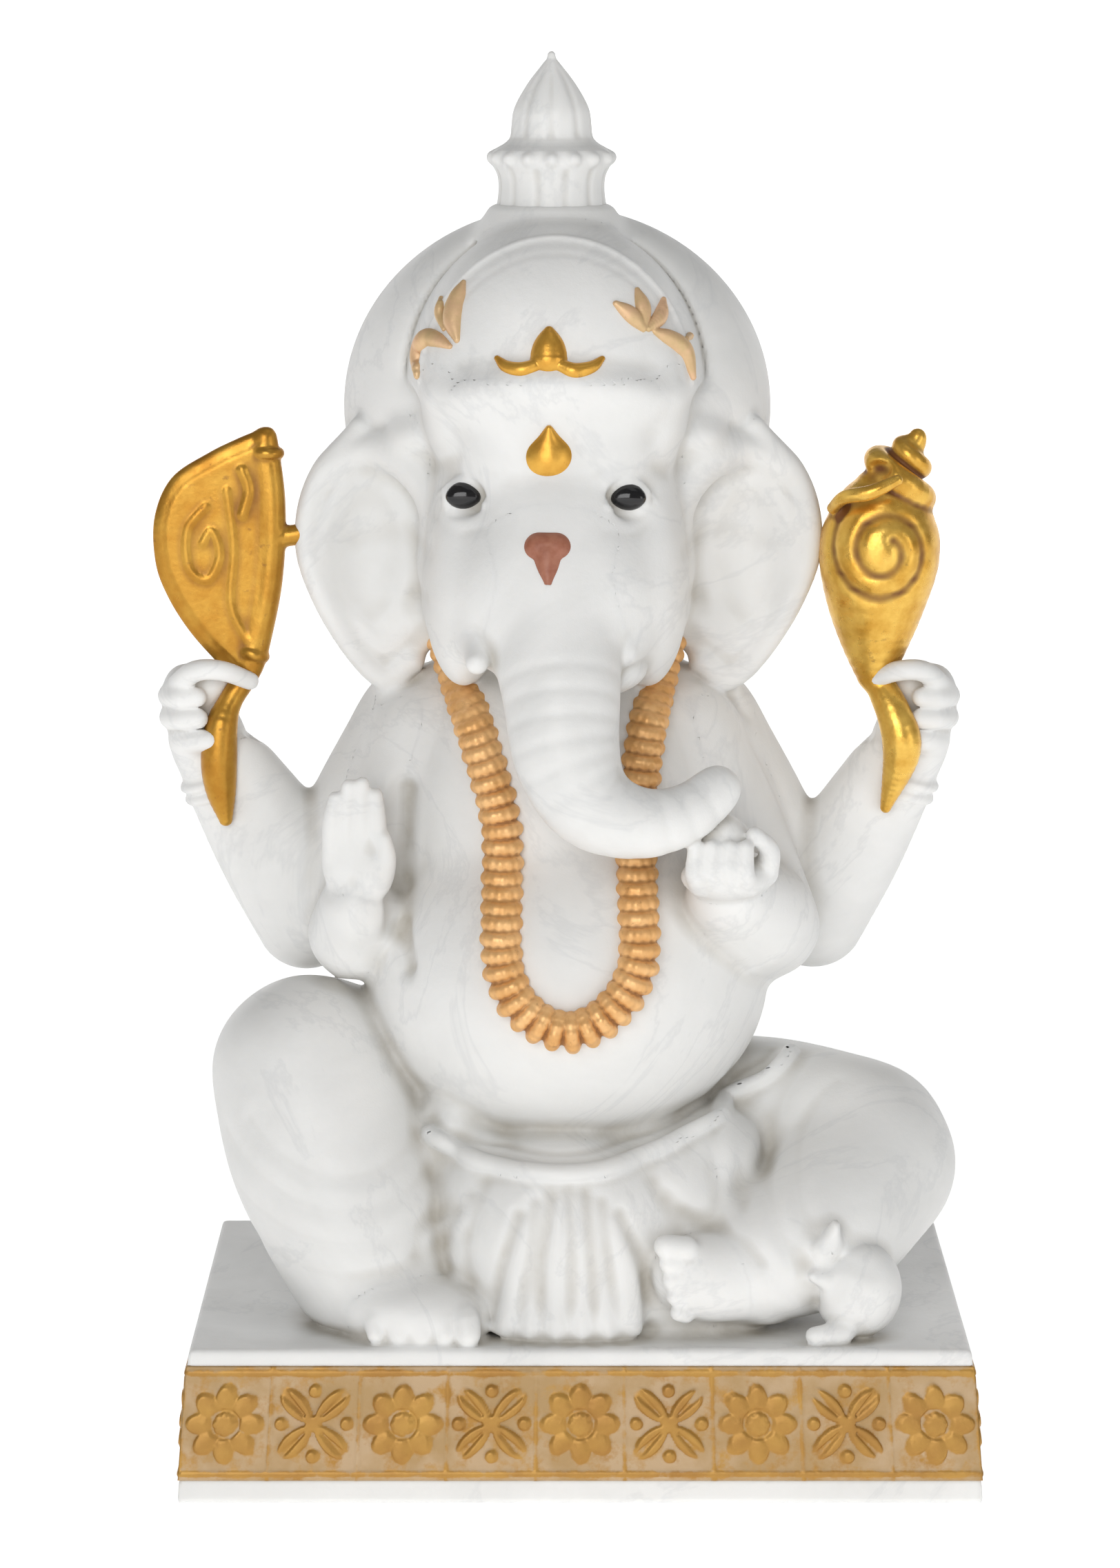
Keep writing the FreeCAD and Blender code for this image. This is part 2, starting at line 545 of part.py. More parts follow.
# ---------------------------------------------------------------- assembly
def assemble():
    """Every node by name, trimmed so that neighbours meet and don't overlap."""
    torso = torso_shape()
    head = trimmed(head_shape(), torso)
    axe, conch, sweet = axe_shape(), conch_shape(), sweet_shape()
    right_ear, left_ear = ear_shape(-1), ear_shape(1)
    trunk = trimmed(trunk_shape(), torso, head)
    right_tusk = trimmed(tusk_shape(-1), head, trunk)
    left_tusk = trimmed(tusk_shape(1), head, trunk)
    right_ear = trimmed(right_ear, head)
    left_ear = trimmed(left_ear, head)
    axe = trimmed(axe, right_ear)
    conch = trimmed(conch, left_ear)
    finial = finial_shape()
    crown_front = trimmed(crown_front_shape(), head)
    crown_band = trimmed(crown_band_shape(), head, crown_front)
    dome = trimmed(crown_dome_shape(), head, crown_front, crown_band, right_ear, left_ear, torso)
    finial = trimmed(finial, dome, crown_front)

    right_leg = trimmed(right_leg_shape(), torso)
    left_leg = trimmed(left_leg_shape(), torso)
    sash = trimmed(sash_shape(), torso, right_leg, left_leg)
    right_foot = trimmed(right_foot_shape(), right_leg)
    left_foot = trimmed(left_foot_shape(), left_leg)
    mouse = trimmed(mouse_shape(), left_leg, left_foot)
    front_pleats = trimmed(pleats_shape(), torso, sash, right_leg, left_leg, right_foot, left_foot)

    front_right_hand = front_right_hand_shape()
    front_left_hand = trimmed(front_left_hand_shape(), sweet)
    front_right_arm = trimmed(front_right_arm_shape(), torso, head, right_ear, front_right_hand)
    front_left_arm = trimmed(front_left_arm_shape(), torso, head, left_ear, front_left_hand)
    rear_right_hand = trimmed(rear_right_hand_shape(), axe)
    rear_left_hand = trimmed(rear_left_hand_shape(), conch)
    rear_right_arm = trimmed(rear_right_arm_shape(), torso, head, right_ear, front_right_arm, rear_right_hand, axe)
    rear_left_arm = trimmed(rear_left_arm_shape(), torso, head, left_ear, front_left_arm, rear_left_hand, conch)
    sweet = trimmed(sweet, trunk)
    front_left_hand = trimmed(front_left_hand, trunk)
    garland = garland_shape()
    for neighbour in (torso, head, trunk, right_ear, left_ear, front_left_arm, front_left_hand, right_tusk, left_tusk):
        garland = garland.cut(neighbour)
    strands = [s for s in garland.Solids if s.Volume > 20.0]
    nodes = {
        "torso": torso, "head": head, "trunk": trunk, "right_ear": right_ear, "left_ear": left_ear,
        "right_tusk": right_tusk, "left_tusk": left_tusk,
        "crown_dome": dome, "crown_front": crown_front, "crown_band": crown_band, "finial": finial,
        "right_leg": right_leg, "left_leg": left_leg, "right_foot": right_foot, "left_foot": left_foot,
        "waist_sash": sash, "front_pleats": front_pleats, "mouse": mouse,
        "front_right_arm": front_right_arm, "front_left_arm": front_left_arm,
        "rear_right_arm": rear_right_arm, "rear_left_arm": rear_left_arm,
        "front_right_hand": front_right_hand, "front_left_hand": front_left_hand,
        "rear_right_hand": rear_right_hand, "rear_left_hand": rear_left_hand,
        "axe": axe, "conch": conch, "sweet": sweet,
        "garland": Part.makeCompound(strands),
    }
    plinth = plinth_shape()
    front, right, left = frieze_pieces()
    nodes.update({"plinth": plinth, "front_frieze": front, "right_frieze": right, "left_frieze": left})
    nodes["right_eye"] = trimmed(eye_shape(-1), head)
    nodes["left_eye"] = trimmed(eye_shape(1), head)
    nodes["tilak"] = trimmed(tilak_shape(), head)
    nodes["bindi"] = trimmed(bindi_shape(), head, trunk)
    for name, shape in (("centre_jewel", centre_jewel_shape()), ("right_crown_leaves", right_leaves_shape()),
                        ("left_crown_leaves", left_leaves_shape())):
        kept = [trimmed(s, crown_front, head, crown_band, dome) for s in shape.Solids]
        nodes[name] = kept[0] if len(kept) == 1 else Part.makeCompound(kept)
    for name, dowel in pins().items():
        for other in ("plinth", "torso", "head", "crown_dome", "crown_front", "finial", "right_leg", "left_leg"):
            if nodes[other].BoundBox.intersect(dowel.BoundBox):
                nodes[other] = max(nodes[other].cut(dowel).Solids, key=lambda solid: solid.Volume)
        nodes[name] = dowel
    return nodes


def main():
    os.makedirs("parts", exist_ok=True)
    for name, shape in assemble().items():
        shape.exportStep("parts/%s.step" % name)
        print("%-18s solids %d valid %s volume %.0f" % (name, len(shape.Solids), shape.isValid(), shape.Volume))


main()
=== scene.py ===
"""Looks of a seated four-armed elephant-headed figure in white marble with gilt ornament.

The marble is modelled as clay: a block of signed distances, filled from the CAD nodes, blended where flesh
meets flesh, and then detailed with strokes, lumps and grooves. One skin is drawn round it and shared out
between the nodes, so each piece is its own closed mesh and the carving runs on from piece to piece.
Distances are in millimetres until a mesh is made. The figure faces -Y, and right and left are its own.
"""

import functools
import math

import bpy
import numpy as np
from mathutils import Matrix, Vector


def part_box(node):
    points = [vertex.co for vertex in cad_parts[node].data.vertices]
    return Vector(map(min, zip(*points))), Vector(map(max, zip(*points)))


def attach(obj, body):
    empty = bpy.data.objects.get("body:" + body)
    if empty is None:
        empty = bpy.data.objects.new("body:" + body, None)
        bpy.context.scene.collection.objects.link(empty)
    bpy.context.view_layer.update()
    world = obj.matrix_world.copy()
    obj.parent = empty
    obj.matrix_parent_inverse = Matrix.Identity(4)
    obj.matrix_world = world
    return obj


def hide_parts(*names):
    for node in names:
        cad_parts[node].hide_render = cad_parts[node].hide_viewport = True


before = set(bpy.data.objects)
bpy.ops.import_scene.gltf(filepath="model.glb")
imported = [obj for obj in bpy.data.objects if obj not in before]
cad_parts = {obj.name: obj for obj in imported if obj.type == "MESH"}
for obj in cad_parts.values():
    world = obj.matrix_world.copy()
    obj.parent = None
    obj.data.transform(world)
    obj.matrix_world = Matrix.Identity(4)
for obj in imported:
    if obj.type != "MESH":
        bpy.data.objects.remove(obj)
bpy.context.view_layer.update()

import openvdb
from mathutils import Matrix, Vector

MM = 0.001
BODY_STEP = 0.45     # spacing of the samples in the figure's marble
TRIM_STEP = 0.25     # in the gilded pieces and the finial
GEM_STEP = 0.16      # in the small jewels
BAND_STEP = 0.22     # spacing of the points in the carved band
REACH = 4.5                             # how far from a surface distances are kept

# How softly each marble node blends into those before it, and how far its own form is smoothed first.
# None is for a node that is carved afresh: its solid only says which part the clay there belongs to.
MARBLE = {
    "torso": (0.0, 2.4), "crown_dome": (0.6, 1.0), "head": (2.0, 1.6), "trunk": (3.5, 1.0), "right_ear": (2.0, 0.5),
    "left_ear": (2.0, 0.5), "right_tusk": (0.8, 0.0), "left_tusk": (0.8, 0.0), "crown_front": (0.5, 0.8),
    "crown_band": (2.5, 1.3), "right_leg": (2.2, 1.6), "left_leg": (2.2, 1.6), "right_foot": (None, 0.0),
    "left_foot": (None, 0.0), "waist_sash": (None, 0.0), "front_pleats": (4.0, 1.6), "mouse": (1.2, 0.4),
    "front_right_arm": (3.0, 0.8), "front_left_arm": (3.0, 0.8), "rear_right_arm": (3.0, 0.8),
    "rear_left_arm": (3.0, 0.8), "front_right_hand": (None, 0.0), "front_left_hand": (None, 0.0),
    "rear_right_hand": (None, 0.0), "rear_left_hand": (None, 0.0), "sweet": (0.3, 0.0), "plinth": (0.7, 0.0),
}


# ---------------------------------------------------------------- places from the frame
@functools.cache
def box(node):
    """A CAD node's lowest and highest corners, in mm."""
    return tuple(np.array(corner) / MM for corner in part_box(node))


def at(node, fx, fy, fz):
    """The point at these fractions of a node's box, from its lowest corner."""
    low, high = box(node)
    return low + (high - low) * np.array((fx, fy, fz))


def centre(node):
    return at(node, 0.5, 0.5, 0.5)


# Where a node's clay stops short of its solid, negative inside: the crown's sides behind the ears, and the hanging
# cloth below the belly.
LIMITS = {
    "crown_dome": lambda x, y, z: -np.maximum(z - at("right_ear", 0, 0, 1.02)[2], y - at("right_ear", 0, -0.1, 0)[1]),
    "front_pleats": lambda x, y, z: z - at("waist_sash", 0, 0, 0.5)[2],
}


def smooth_line(points, spacing):
    """A Catmull-Rom line through points, as evenly spaced points."""
    points = np.asarray(points, float)
    padded = np.vstack((2 * points[0] - points[1], points, 2 * points[-1] - points[-2]))
    fine = []
    for a, b, c, d in zip(padded, padded[1:], padded[2:], padded[3:]):
        for t in np.linspace(0, 1, 24, endpoint=False):
            fine.append(b + (c - a) * t / 2 + (2 * a - 5 * b + 4 * c - d) * t * t / 2
                        + (3 * b - a - 3 * c + d) * t ** 3 / 2)
    fine = np.array(fine + [points[-1]])
    lengths = np.concatenate(([0], np.cumsum(np.linalg.norm(np.diff(fine[:, :3], axis=0), axis=1))))
    wanted = np.linspace(0, lengths[-1], max(2, int(round(lengths[-1] / spacing)) + 1))
    return np.column_stack([np.interp(wanted, lengths, fine[:, k]) for k in range(fine.shape[1])])


def placed(node, line, mirrored=False):
    """Stroke points from (fx, fy, fz, radius), by fractions of a node's box. mirrored swaps its two sides."""
    return [(*at(node, 1 - fx if mirrored else fx, fy, fz), r) for fx, fy, fz, r in line]


# ---------------------------------------------------------------- clay
def merged(a, b, soft):
    """The union of two fields, with a fillet about as wide as soft where they meet."""
    if soft <= 0:
        return np.minimum(a, b)
    share = np.clip(0.5 + 0.5 * (b - a) / soft, 0, 1)
    return b + (a - b) * share - soft * share * (1 - share)


def box_mean(block, radius, axis):
    """A block averaged over radius samples to either side along one axis."""
    room = [(0, 0)] * 3
    room[axis] = (radius + 1, radius)
    total = np.cumsum(np.pad(block, room, mode="edge"), axis=axis, dtype=np.float64)
    width = 2 * radius + 1
    upper = np.take(total, np.arange(width, total.shape[axis]), axis=axis)
    lower = np.take(total, np.arange(0, total.shape[axis] - width), axis=axis)
    return ((upper - lower) / width).astype(np.float32)


def blurred(block, sigma):
    """A block smoothed by about sigma samples, with three passes of a box filter."""
    radius = int(round((math.sqrt(4 * sigma * sigma + 1) - 1) / 2))
    if radius < 1:
        return block
    for _ in range(3):
        for axis in range(3):
            block = box_mean(block, radius, axis)
    return block


def outline_distance(u, v, outline):
    """Distances in a plane to a closed outline, negative inside it."""
    shape = np.broadcast_shapes(u.shape, v.shape)
    near = np.full(shape, np.inf, np.float32)
    inside = np.zeros(shape, bool)
    for (au, av), (bu, bv) in zip(outline, np.roll(outline, -1, axis=0)):
        du, dv = bu - au, bv - av
        t = np.clip(((u - au) * du + (v - av) * dv) / max(du * du + dv * dv, 1e-9), 0, 1)
        near = np.minimum(near, (u - au - t * du) ** 2 + (v - av - t * dv) ** 2)
        if dv:
            inside ^= ((av > v) != (bv > v)) & (u < au + (v - av) * du / dv)
    return np.where(inside, -1, 1).astype(np.float32) * np.sqrt(near)


class Clay:
    """A block of signed distances, negative inside, with each named part's own distances beside it."""

    def __init__(self, low, high, step):
        self.step = step
        self.low = np.floor(np.asarray(low) / step).astype(int)
        self.field = np.full(np.ceil(np.asarray(high) / step).astype(int) - self.low + 1, REACH, np.float32)
        self.parts = {}
        self.shade_spots = []        # (middle, radii, depth) of painted shade, laid on as if the hollow there were deeper

    def window(self, low, high, room):
        """The samples from low to high, with room on every side."""
        start = np.floor((np.asarray(low) - room) / self.step).astype(int) - self.low
        stop = np.ceil((np.asarray(high) + room) / self.step).astype(int) - self.low + 1
        size = self.field.shape
        return tuple(slice(max(a, 0), max(min(b, n), 0)) for a, b, n in zip(start, stop, size))

    def axes(self, window):
        lines = [((np.arange(w.start, w.stop) + low) * self.step).astype(np.float32)
                 for w, low in zip(window, self.low)]
        return np.meshgrid(*lines, indexing="ij", sparse=True)

    def node(self, name, soft, smooth):
        """Adds a CAD node."""
        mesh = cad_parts[name].data
        mesh.calc_loop_triangles()
        points = np.empty(len(mesh.vertices) * 3, np.float32)
        mesh.vertices.foreach_get("co", points)
        corners = np.empty(len(mesh.loop_triangles) * 3, np.int32)
        mesh.loop_triangles.foreach_get("vertices", corners)
        grid = openvdb.FloatGrid.createLevelSetFromPolygons(
            points=points.reshape(-1, 3) / np.float32(MM), triangles=corners.reshape(-1, 3).astype(np.uint32),
            transform=openvdb.createLinearTransform(voxelSize=self.step), halfWidth=REACH / self.step)
        window = self.window(*box(name), room=REACH + 3)
        block = np.empty([w.stop - w.start for w in window], np.float32)
        grid.copyToArray(block, ijk=tuple(int(w.start + low) for w, low in zip(window, self.low)))
        if name in LIMITS:
            block = np.maximum(block, np.float32(LIMITS[name](*self.axes(window))))
        block = blurred(block, smooth / self.step)
        if soft is not None:
            self.field[window] = merged(self.field[window], block, soft)
        self.parts[name] = (window, block)

    def stroke(self, points):
        """Distances to a round-ended stroke through (x, y, z, radius) points."""
        points = np.asarray(points, np.float32)
        room = points[:, 3].max() + REACH
        whole = self.window(points[:, :3].min(0), points[:, :3].max(0), room)
        values = np.full([w.stop - w.start for w in whole], REACH, np.float32)
        for a, b in zip(points, points[1:] if len(points) > 1 else points):
            part = self.window(np.minimum(a, b)[:3], np.maximum(a, b)[:3], room)
            local = tuple(slice(p.start - w.start, p.stop - w.start) for p, w in zip(part, whole))
            values[local] = np.minimum(values[local], self.cone(part, a, b))
        return whole, values

    def cone(self, window, a, b):
        away = [axis - a[k] for k, axis in enumerate(self.axes(window))]
        along = b[:3] - a[:3]
        t = sum(d * s for d, s in zip(away, along)) / max(float(along @ along), 1e-9)
        t = np.clip(t, 0, 1)
        gap = np.sqrt(sum((d - t * s) ** 2 for d, s in zip(away, along)))
        return gap - (a[3] + t * (b[3] - a[3]))

    def lump(self, middle, radii, turn=None):
        """Distances to an ellipsoid. turn is (axis letter, degrees)."""
        middle, radii = np.asarray(middle), np.asarray(radii)
        window = self.window(middle - radii.max(), middle + radii.max(), REACH)
        away = [axis - np.float32(middle[k]) for k, axis in enumerate(self.axes(window))]
        if turn:
            spin = np.array(Matrix.Rotation(math.radians(turn[1]), 3, turn[0])).T
            away = [sum(d * np.float32(s) for d, s in zip(away, row)) for row in spin]
        near = np.sqrt(sum((d / r) ** 2 for d, r in zip(away, radii)))
        steep = np.sqrt(sum((d / (r * r)) ** 2 for d, r in zip(away, radii)))
        return window, (near * (near - 1) / np.maximum(steep, 1e-6)).astype(np.float32)

    def ring(self, middle, normal, radius, thick):
        """Distances to a round ring."""
        normal = np.asarray(normal, np.float32) / np.linalg.norm(normal)
        window = self.window(np.asarray(middle) - radius - thick, np.asarray(middle) + radius + thick, REACH)
        away = [axis - np.float32(middle[k]) for k, axis in enumerate(self.axes(window))]
        height = sum(d * n for d, n in zip(away, normal))
        flat = np.sqrt(np.maximum(sum(d * d for d in away) - height ** 2, 0))
        return window, np.sqrt((flat - radius) ** 2 + height ** 2) - thick

    def plate(self, outline, y, half, bevel):
        """Distances to an upright plate with this (x, z) outline, thinner within bevel of its edge."""
        outline = np.asarray(outline, np.float32)
        low = (outline[:, 0].min(), y - half, outline[:, 1].min())
        high = (outline[:, 0].max(), y + half, outline[:, 1].max())
        window = self.window(low, high, REACH)
        x, across, z = self.axes(window)
        flat = outline_distance(x, z, outline)
        thick = np.abs(across - y) - half * np.clip(0.4 - flat / bevel, 0.4, 1)
        return window, (np.hypot(np.maximum(flat, 0), np.maximum(thick, 0)) + np.minimum(np.maximum(flat, thick), 0))

    def turned(self, x, y, profile):
        """Distances to a shape turned about an upright axis, from (radius, z) points, bottom to top."""
        profile = np.asarray(profile, np.float32)
        outline = np.vstack((profile, profile[::-1] * (-1, 1))).astype(np.float32)
        reach = profile[:, 0].max()
        window = self.window((x - reach, y - reach, profile[0, 1]), (x + reach, y + reach, profile[-1, 1]), REACH)
        ax, ay, az = self.axes(window)
        return window, outline_distance(np.hypot(ax - x, ay - y), az, outline)

    def blend(self, shape, soft=0.6):
        """Adds a shape to the clay, as no part's own."""
        window, values = shape
        self.field[window] = merged(self.field[window], values, soft)

    def add(self, name, shape, soft=0.6):
        """Adds a shape to the clay, as more of the named part."""
        self.blend(shape, soft)
        window, values = shape
        home, own = self.parts[name]
        common = tuple(slice(max(a.start, b.start), max(min(a.stop, b.stop), max(a.start, b.start)))
                       for a, b in zip(window, home))
        mine = tuple(slice(c.start - h.start, c.stop - h.start) for c, h in zip(common, home))
        theirs = tuple(slice(c.start - w.start, c.stop - w.start) for c, w in zip(common, window))
        own[mine] = np.minimum(own[mine], values[theirs])

    def finger(self, part, line, soft, mirrored=False, node=None, spacing=0.8):
        """Adds a bent stroke to a part, through fractions of its own node's box or another's."""
        self.add(part, self.stroke(smooth_line(placed(node or part, line, mirrored), spacing)), soft)

    def carve(self, shape, soft=0.6):
        """Cuts a shape out of the clay."""
        window, values = shape
        self.field[window] = -merged(-self.field[window], values, soft)

    def score(self, points, depth, width):
        """Presses a groove along a line, or raises a ridge where depth is negative."""
        if len(points):
            window, away = self.stroke([(*p[:3], 0.0) for p in points])
            self.field[window] += (depth * np.exp(-(away / width) ** 2)).astype(np.float32)

    def front(self, x, z):
        """The y of the first surface met from the front at x and z, or nan where there is none."""
        i, k = x / self.step - self.low[0], z / self.step - self.low[2]
        i0, k0 = int(i), int(k)
        u, v = i - i0, k - k0
        f = self.field
        column = ((1 - u) * (1 - v) * f[i0, :, k0] + u * (1 - v) * f[i0 + 1, :, k0]
                  + (1 - u) * v * f[i0, :, k0 + 1] + u * v * f[i0 + 1, :, k0 + 1])
        j = int(np.argmax(column < 0))
        if j == 0:
            return math.nan
        return (j - column[j] / (column[j] - column[j - 1]) + self.low[1]) * self.step

    def laid(self, places, lift=0.0):
        """(x, z, radius) places put on the front surface, as stroke points. Those that miss it are left out."""
        points = [(x, self.front(x, z) - lift, z, r) for x, z, r in places]
        return [p for p in points if not math.isnan(p[1])]


# ---------------------------------------------------------------- from clay to meshes
CORNERS = np.array([(i, j, k) for i in (0, 1) for j in (0, 1) for k in (0, 1)])
EDGES = [(a, b) for a in range(8) for b in range(a + 1, 8) if np.abs(CORNERS[a] - CORNERS[b]).sum() == 1]


def sampled(field, places):
    """A block's values between its samples."""
    places = np.clip(places, 0, np.array(field.shape) - 1.001)
    whole = places.astype(int)
    part = (places - whole).astype(np.float32)
    total = np.zeros(len(places), np.float32)
    for corner in CORNERS:
        weight = np.prod(np.where(corner, part, 1 - part), axis=1)
        total += weight * field[tuple((whole + corner).T)]
    return total


def slope(field, places, reach=0.7):
    """The direction in which a block's values rise."""
    return np.column_stack([sampled(field, places + reach * axis) - sampled(field, places - reach * axis)
                            for axis in np.eye(3)]) / (2 * reach)


def mesh_of(name, points, faces, normals=None, attributes=None):
    """A smooth-shaded object from arrays: points in mm, faces all of one size."""
    mesh = bpy.data.meshes.new(name)
    mesh.vertices.add(len(points))
    mesh.vertices.foreach_set("co", (np.asarray(points) * MM).astype(np.float32).ravel())
    mesh.loops.add(faces.size)
    mesh.loops.foreach_set("vertex_index", faces.astype(np.int32).ravel())
    mesh.polygons.add(len(faces))
    mesh.polygons.foreach_set("loop_start", np.arange(0, faces.size, faces.shape[1], dtype=np.int32))
    for key, values in (attributes or {}).items():
        mesh.attributes.new(key, "FLOAT", "POINT").data.foreach_set("value", values.astype(np.float32))
    mesh.update()
    mesh.polygons.foreach_set("use_smooth", np.ones(len(faces), bool))
    if normals is not None:
        mesh.normals_split_custom_set(normals)
    piece = bpy.data.objects.new(name, mesh)
    bpy.context.scene.collection.objects.link(piece)
    return piece


def unit(vectors):
    return vectors / np.maximum(np.linalg.norm(vectors, axis=1, keepdims=True), 1e-9)


def heading(vector):
    return unit(vector[None])[0]


def skin_points(clay, label, cells):
    """One vertex for each of these cells: on the surface where the cell meets it, and else among the parts in it."""
    values = np.stack([clay.field[tuple((cells + corner).T)] for corner in CORNERS], axis=1)
    kinds = np.stack([label[tuple((cells + corner).T)] for corner in CORNERS], axis=1)
    total = np.zeros((len(cells), 3))
    weight = np.zeros((len(cells), 1))
    for a, b in EDGES:
        skin = (kinds[:, a] == 0) != (kinds[:, b] == 0)
        inner = (kinds[:, a] != kinds[:, b]) & ~skin
        t = np.where(skin, values[:, a] / np.where(skin, values[:, a] - values[:, b], 1), 0.5)
        share = np.where(skin, 1.0, np.where(inner, 0.7, 0.0))[:, None]
        total += share * (CORNERS[a] + t[:, None] * (CORNERS[b] - CORNERS[a]))
        weight += share
    points = cells + total / weight
    on_skin = (kinds == 0).any(axis=1)
    for _ in range(2):
        rise = slope(clay.field, points[on_skin], 0.5)
        step = rise * (sampled(clay.field, points[on_skin]) / np.maximum((rise ** 2).sum(1), 0.05))[:, None]
        moved = points[on_skin] - np.clip(step, -0.4, 0.4)
        points[on_skin] = np.clip(moved, cells[on_skin] - 0.15, cells[on_skin] + 1.15)
    return points


def settle(label, rounds=4, reach=4):
    """Straightens the borders between parts: a sample beside one joins the part that most of its neighbours are in."""
    near = [p for p in np.ndindex(*[2 * reach + 1] * 3) if sum((n - reach) ** 2 for n in p) <= reach ** 2]
    for _ in range(rounds):
        border = np.zeros(label.shape, bool)
        for axis in range(3):
            a, b = [tuple(slice(*cut) if k == axis else slice(None) for k in range(3))
                    for cut in ((0, -1), (1, None))]
            differ = (label[a] != label[b]) & (label[a] > 0) & (label[b] > 0)
            border[a] |= differ
            border[b] |= differ
        places = np.argwhere(border)
        places = places[((places >= reach) & (places < np.array(label.shape) - reach)).all(axis=1)]
        votes = np.zeros((len(places), label.max() + 1), np.int16)
        for step in near:
            votes[np.arange(len(places)), label[tuple((places + step - reach).T)]] += 1
        votes[:, 0] = 0
        label[tuple(places.T)] = votes.argmax(axis=1)


def share_out(clay, names, fineness):
    """Meshes one skin for the whole clay, and closes each part's share of it with a wall that its neighbours share.

    names maps the parts' names to their pieces'. A clay with no parts becomes one piece. fineness is the size in
    mm of the hollows that are darkened as painted shade."""
    owner = np.ones(clay.field.shape, np.int8)
    best = np.full(clay.field.shape, REACH, np.float32)
    for number, (window, own) in enumerate(clay.parts.values(), 1):
        closer = own < best[window]
        best[window] = np.where(closer, own, best[window])
        owner[window] = np.where(closer, number, owner[window])
    label = np.where(clay.field < 0, owner, 0).astype(np.int8)
    del best, owner
    settle(label)
    size = np.array(label.shape)
    eight = [label[i:size[0] - 1 + i, j:size[1] - 1 + j, k:size[2] - 1 + k] for i, j, k in CORNERS]
    cells = np.argwhere(functools.reduce(np.minimum, eight) != functools.reduce(np.maximum, eight))
    number = np.full(size - 1, -1, np.int32)
    number[tuple(cells.T)] = np.arange(len(cells))
    points = skin_points(clay, label, cells)
    bend = unit(slope(clay.field, points, 1.0))
    # hollow is how deep a point sits in a crease; the materials darken it there as painted shade, and the painted
    # shade spots deepen it further.
    hollow = sampled(blurred(clay.field, fineness / clay.step) - clay.field, points)
    for middle, radii, depth in clay.shade_spots:
        hollow -= depth * np.exp(-((((points + clay.low) * clay.step - middle) / radii) ** 2).sum(axis=1))
    spots = ((points + clay.low) * clay.step).astype(np.float32)
    pieces = {}
    for kind, name in enumerate(clay.parts or names, 1):
        if name not in names:
            continue
        quads, on_skin = [], []
        home = clay.parts[name][0] if clay.parts else tuple(slice(0, n) for n in size)
        room = tuple(slice(max(w.start - 2, 0), w.stop + 2) for w in home)
        start = np.array([w.start for w in room])
        local = label[room]
        for axis in range(3):
            ahead, u, v = np.roll(np.eye(3, dtype=int), -axis, axis=0)
            near = tuple(slice(None, -1) if k == axis else slice(1, -1) for k in range(3))
            far = tuple(slice(1, None) if k == axis else slice(1, -1) for k in range(3))
            leaving = (local[near] == kind) & (local[far] != kind)
            coming = (local[near] != kind) & (local[far] == kind)
            for change, order, beyond in ((leaving, 1, far), (coming, -1, near)):
                edge = np.argwhere(change) + (1 - ahead) + start
                ring = np.stack([number[tuple((edge - shift).T)] for shift in (u + v, v, 0 * u, u)], axis=1)
                quads.append(ring[:, ::order])
                on_skin.append(local[beyond][change] == 0)
        quads, on_skin = np.concatenate(quads), np.concatenate(on_skin)
        used, local = np.unique(quads, return_inverse=True)
        local = local.reshape(quads.shape)
        corner = spots[quads]
        wall = unit(np.cross(corner[:, 2] - corner[:, 0], corner[:, 3] - corner[:, 1]))
        normals = np.where(on_skin[:, None, None], bend[quads], wall[:, None, :])
        pieces[name] = mesh_of(names[name], spots[used], local, normals.reshape(-1, 3), {"hollow": hollow[used]})
    return pieces


def cast(clay, name, fineness=0.5):
    """The whole of a clay block as one closed mesh."""
    return share_out(clay, {name: name}, fineness)[name]


def place(piece, material, slot, *nodes):
    """Gives a finished piece its material and its place in the frame."""
    piece.data.materials.clear()
    piece.data.materials.append(material)
    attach(piece, "root")
    if nodes:
        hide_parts(*nodes)
    return piece


# ---------------------------------------------------------------- carving the figure
def arch(x, z, half_width, height, turns):
    """(x, z) places on an arch over a middle point, at these angles in degrees."""
    return [(x + half_width * math.cos(math.radians(a)), z + height * math.sin(math.radians(a))) for a in turns]


# Lines round an eye's middle, as (outward, up, radius) in mm.
LIDS = (((-3.2, -0.7, 0.2), (-1.7, 1.6, 0.35), (0.3, 2.3, 0.4), (2.2, 1.5, 0.35), (3.8, -0.5, 0.2)),
        ((-2.9, -0.9, 0.2), (-1.2, -2.1, 0.3), (1.4, -2.1, 0.3), (3.3, -0.7, 0.2)))
BROW = ((-4.0, 3.6, 0), (0.5, 5.2, 0), (5.2, 2.8, 0))
POUCH = ((-3.0, -4.0, 0), (0.8, -4.8, 0), (4.4, -3.0, 0))
ALMOND = ((-2.1, -0.2, 0.25), (-1.1, 0, 1.35), (0, 0.05, 2.0), (1.1, 0, 1.35), (2.2, -0.1, 0.25))


def round_eye(side, line, spacing):
    """A smooth line round one eye, as (x, z, radius) points."""
    x, _, z = centre(side + "_eye")
    out = -1 if side == "right" else 1
    return smooth_line([(x + outward * out, z + up, r) for outward, up, r in line], spacing)


def carve_eyes(clay):
    """Shallow sockets with a ball between two lids, and a faint brow and pouch."""
    for side, out in (("right", -1), ("left", 1)):
        x, _, z = centre(side + "_eye")
        y = clay.front(x, z)
        clay.carve(clay.lump((x + 0.3 * out, y - 0.7, z), (3.6, 1.2, 2.4), ("Y", -6 * out)), 1.5)
        clay.add("head", clay.lump((x, y + 1.3, z), (3.1, 1.7, 2.2)), 0.6)
        for lid in LIDS:
            clay.add("head", clay.stroke(clay.laid(round_eye(side, lid, 0.5))), 0.5)
        for crease, depth, width in ((BROW, 0.14, 1.0), (POUCH, 0.12, 0.9)):
            clay.score(clay.laid(round_eye(side, crease, 0.6)), depth, width)


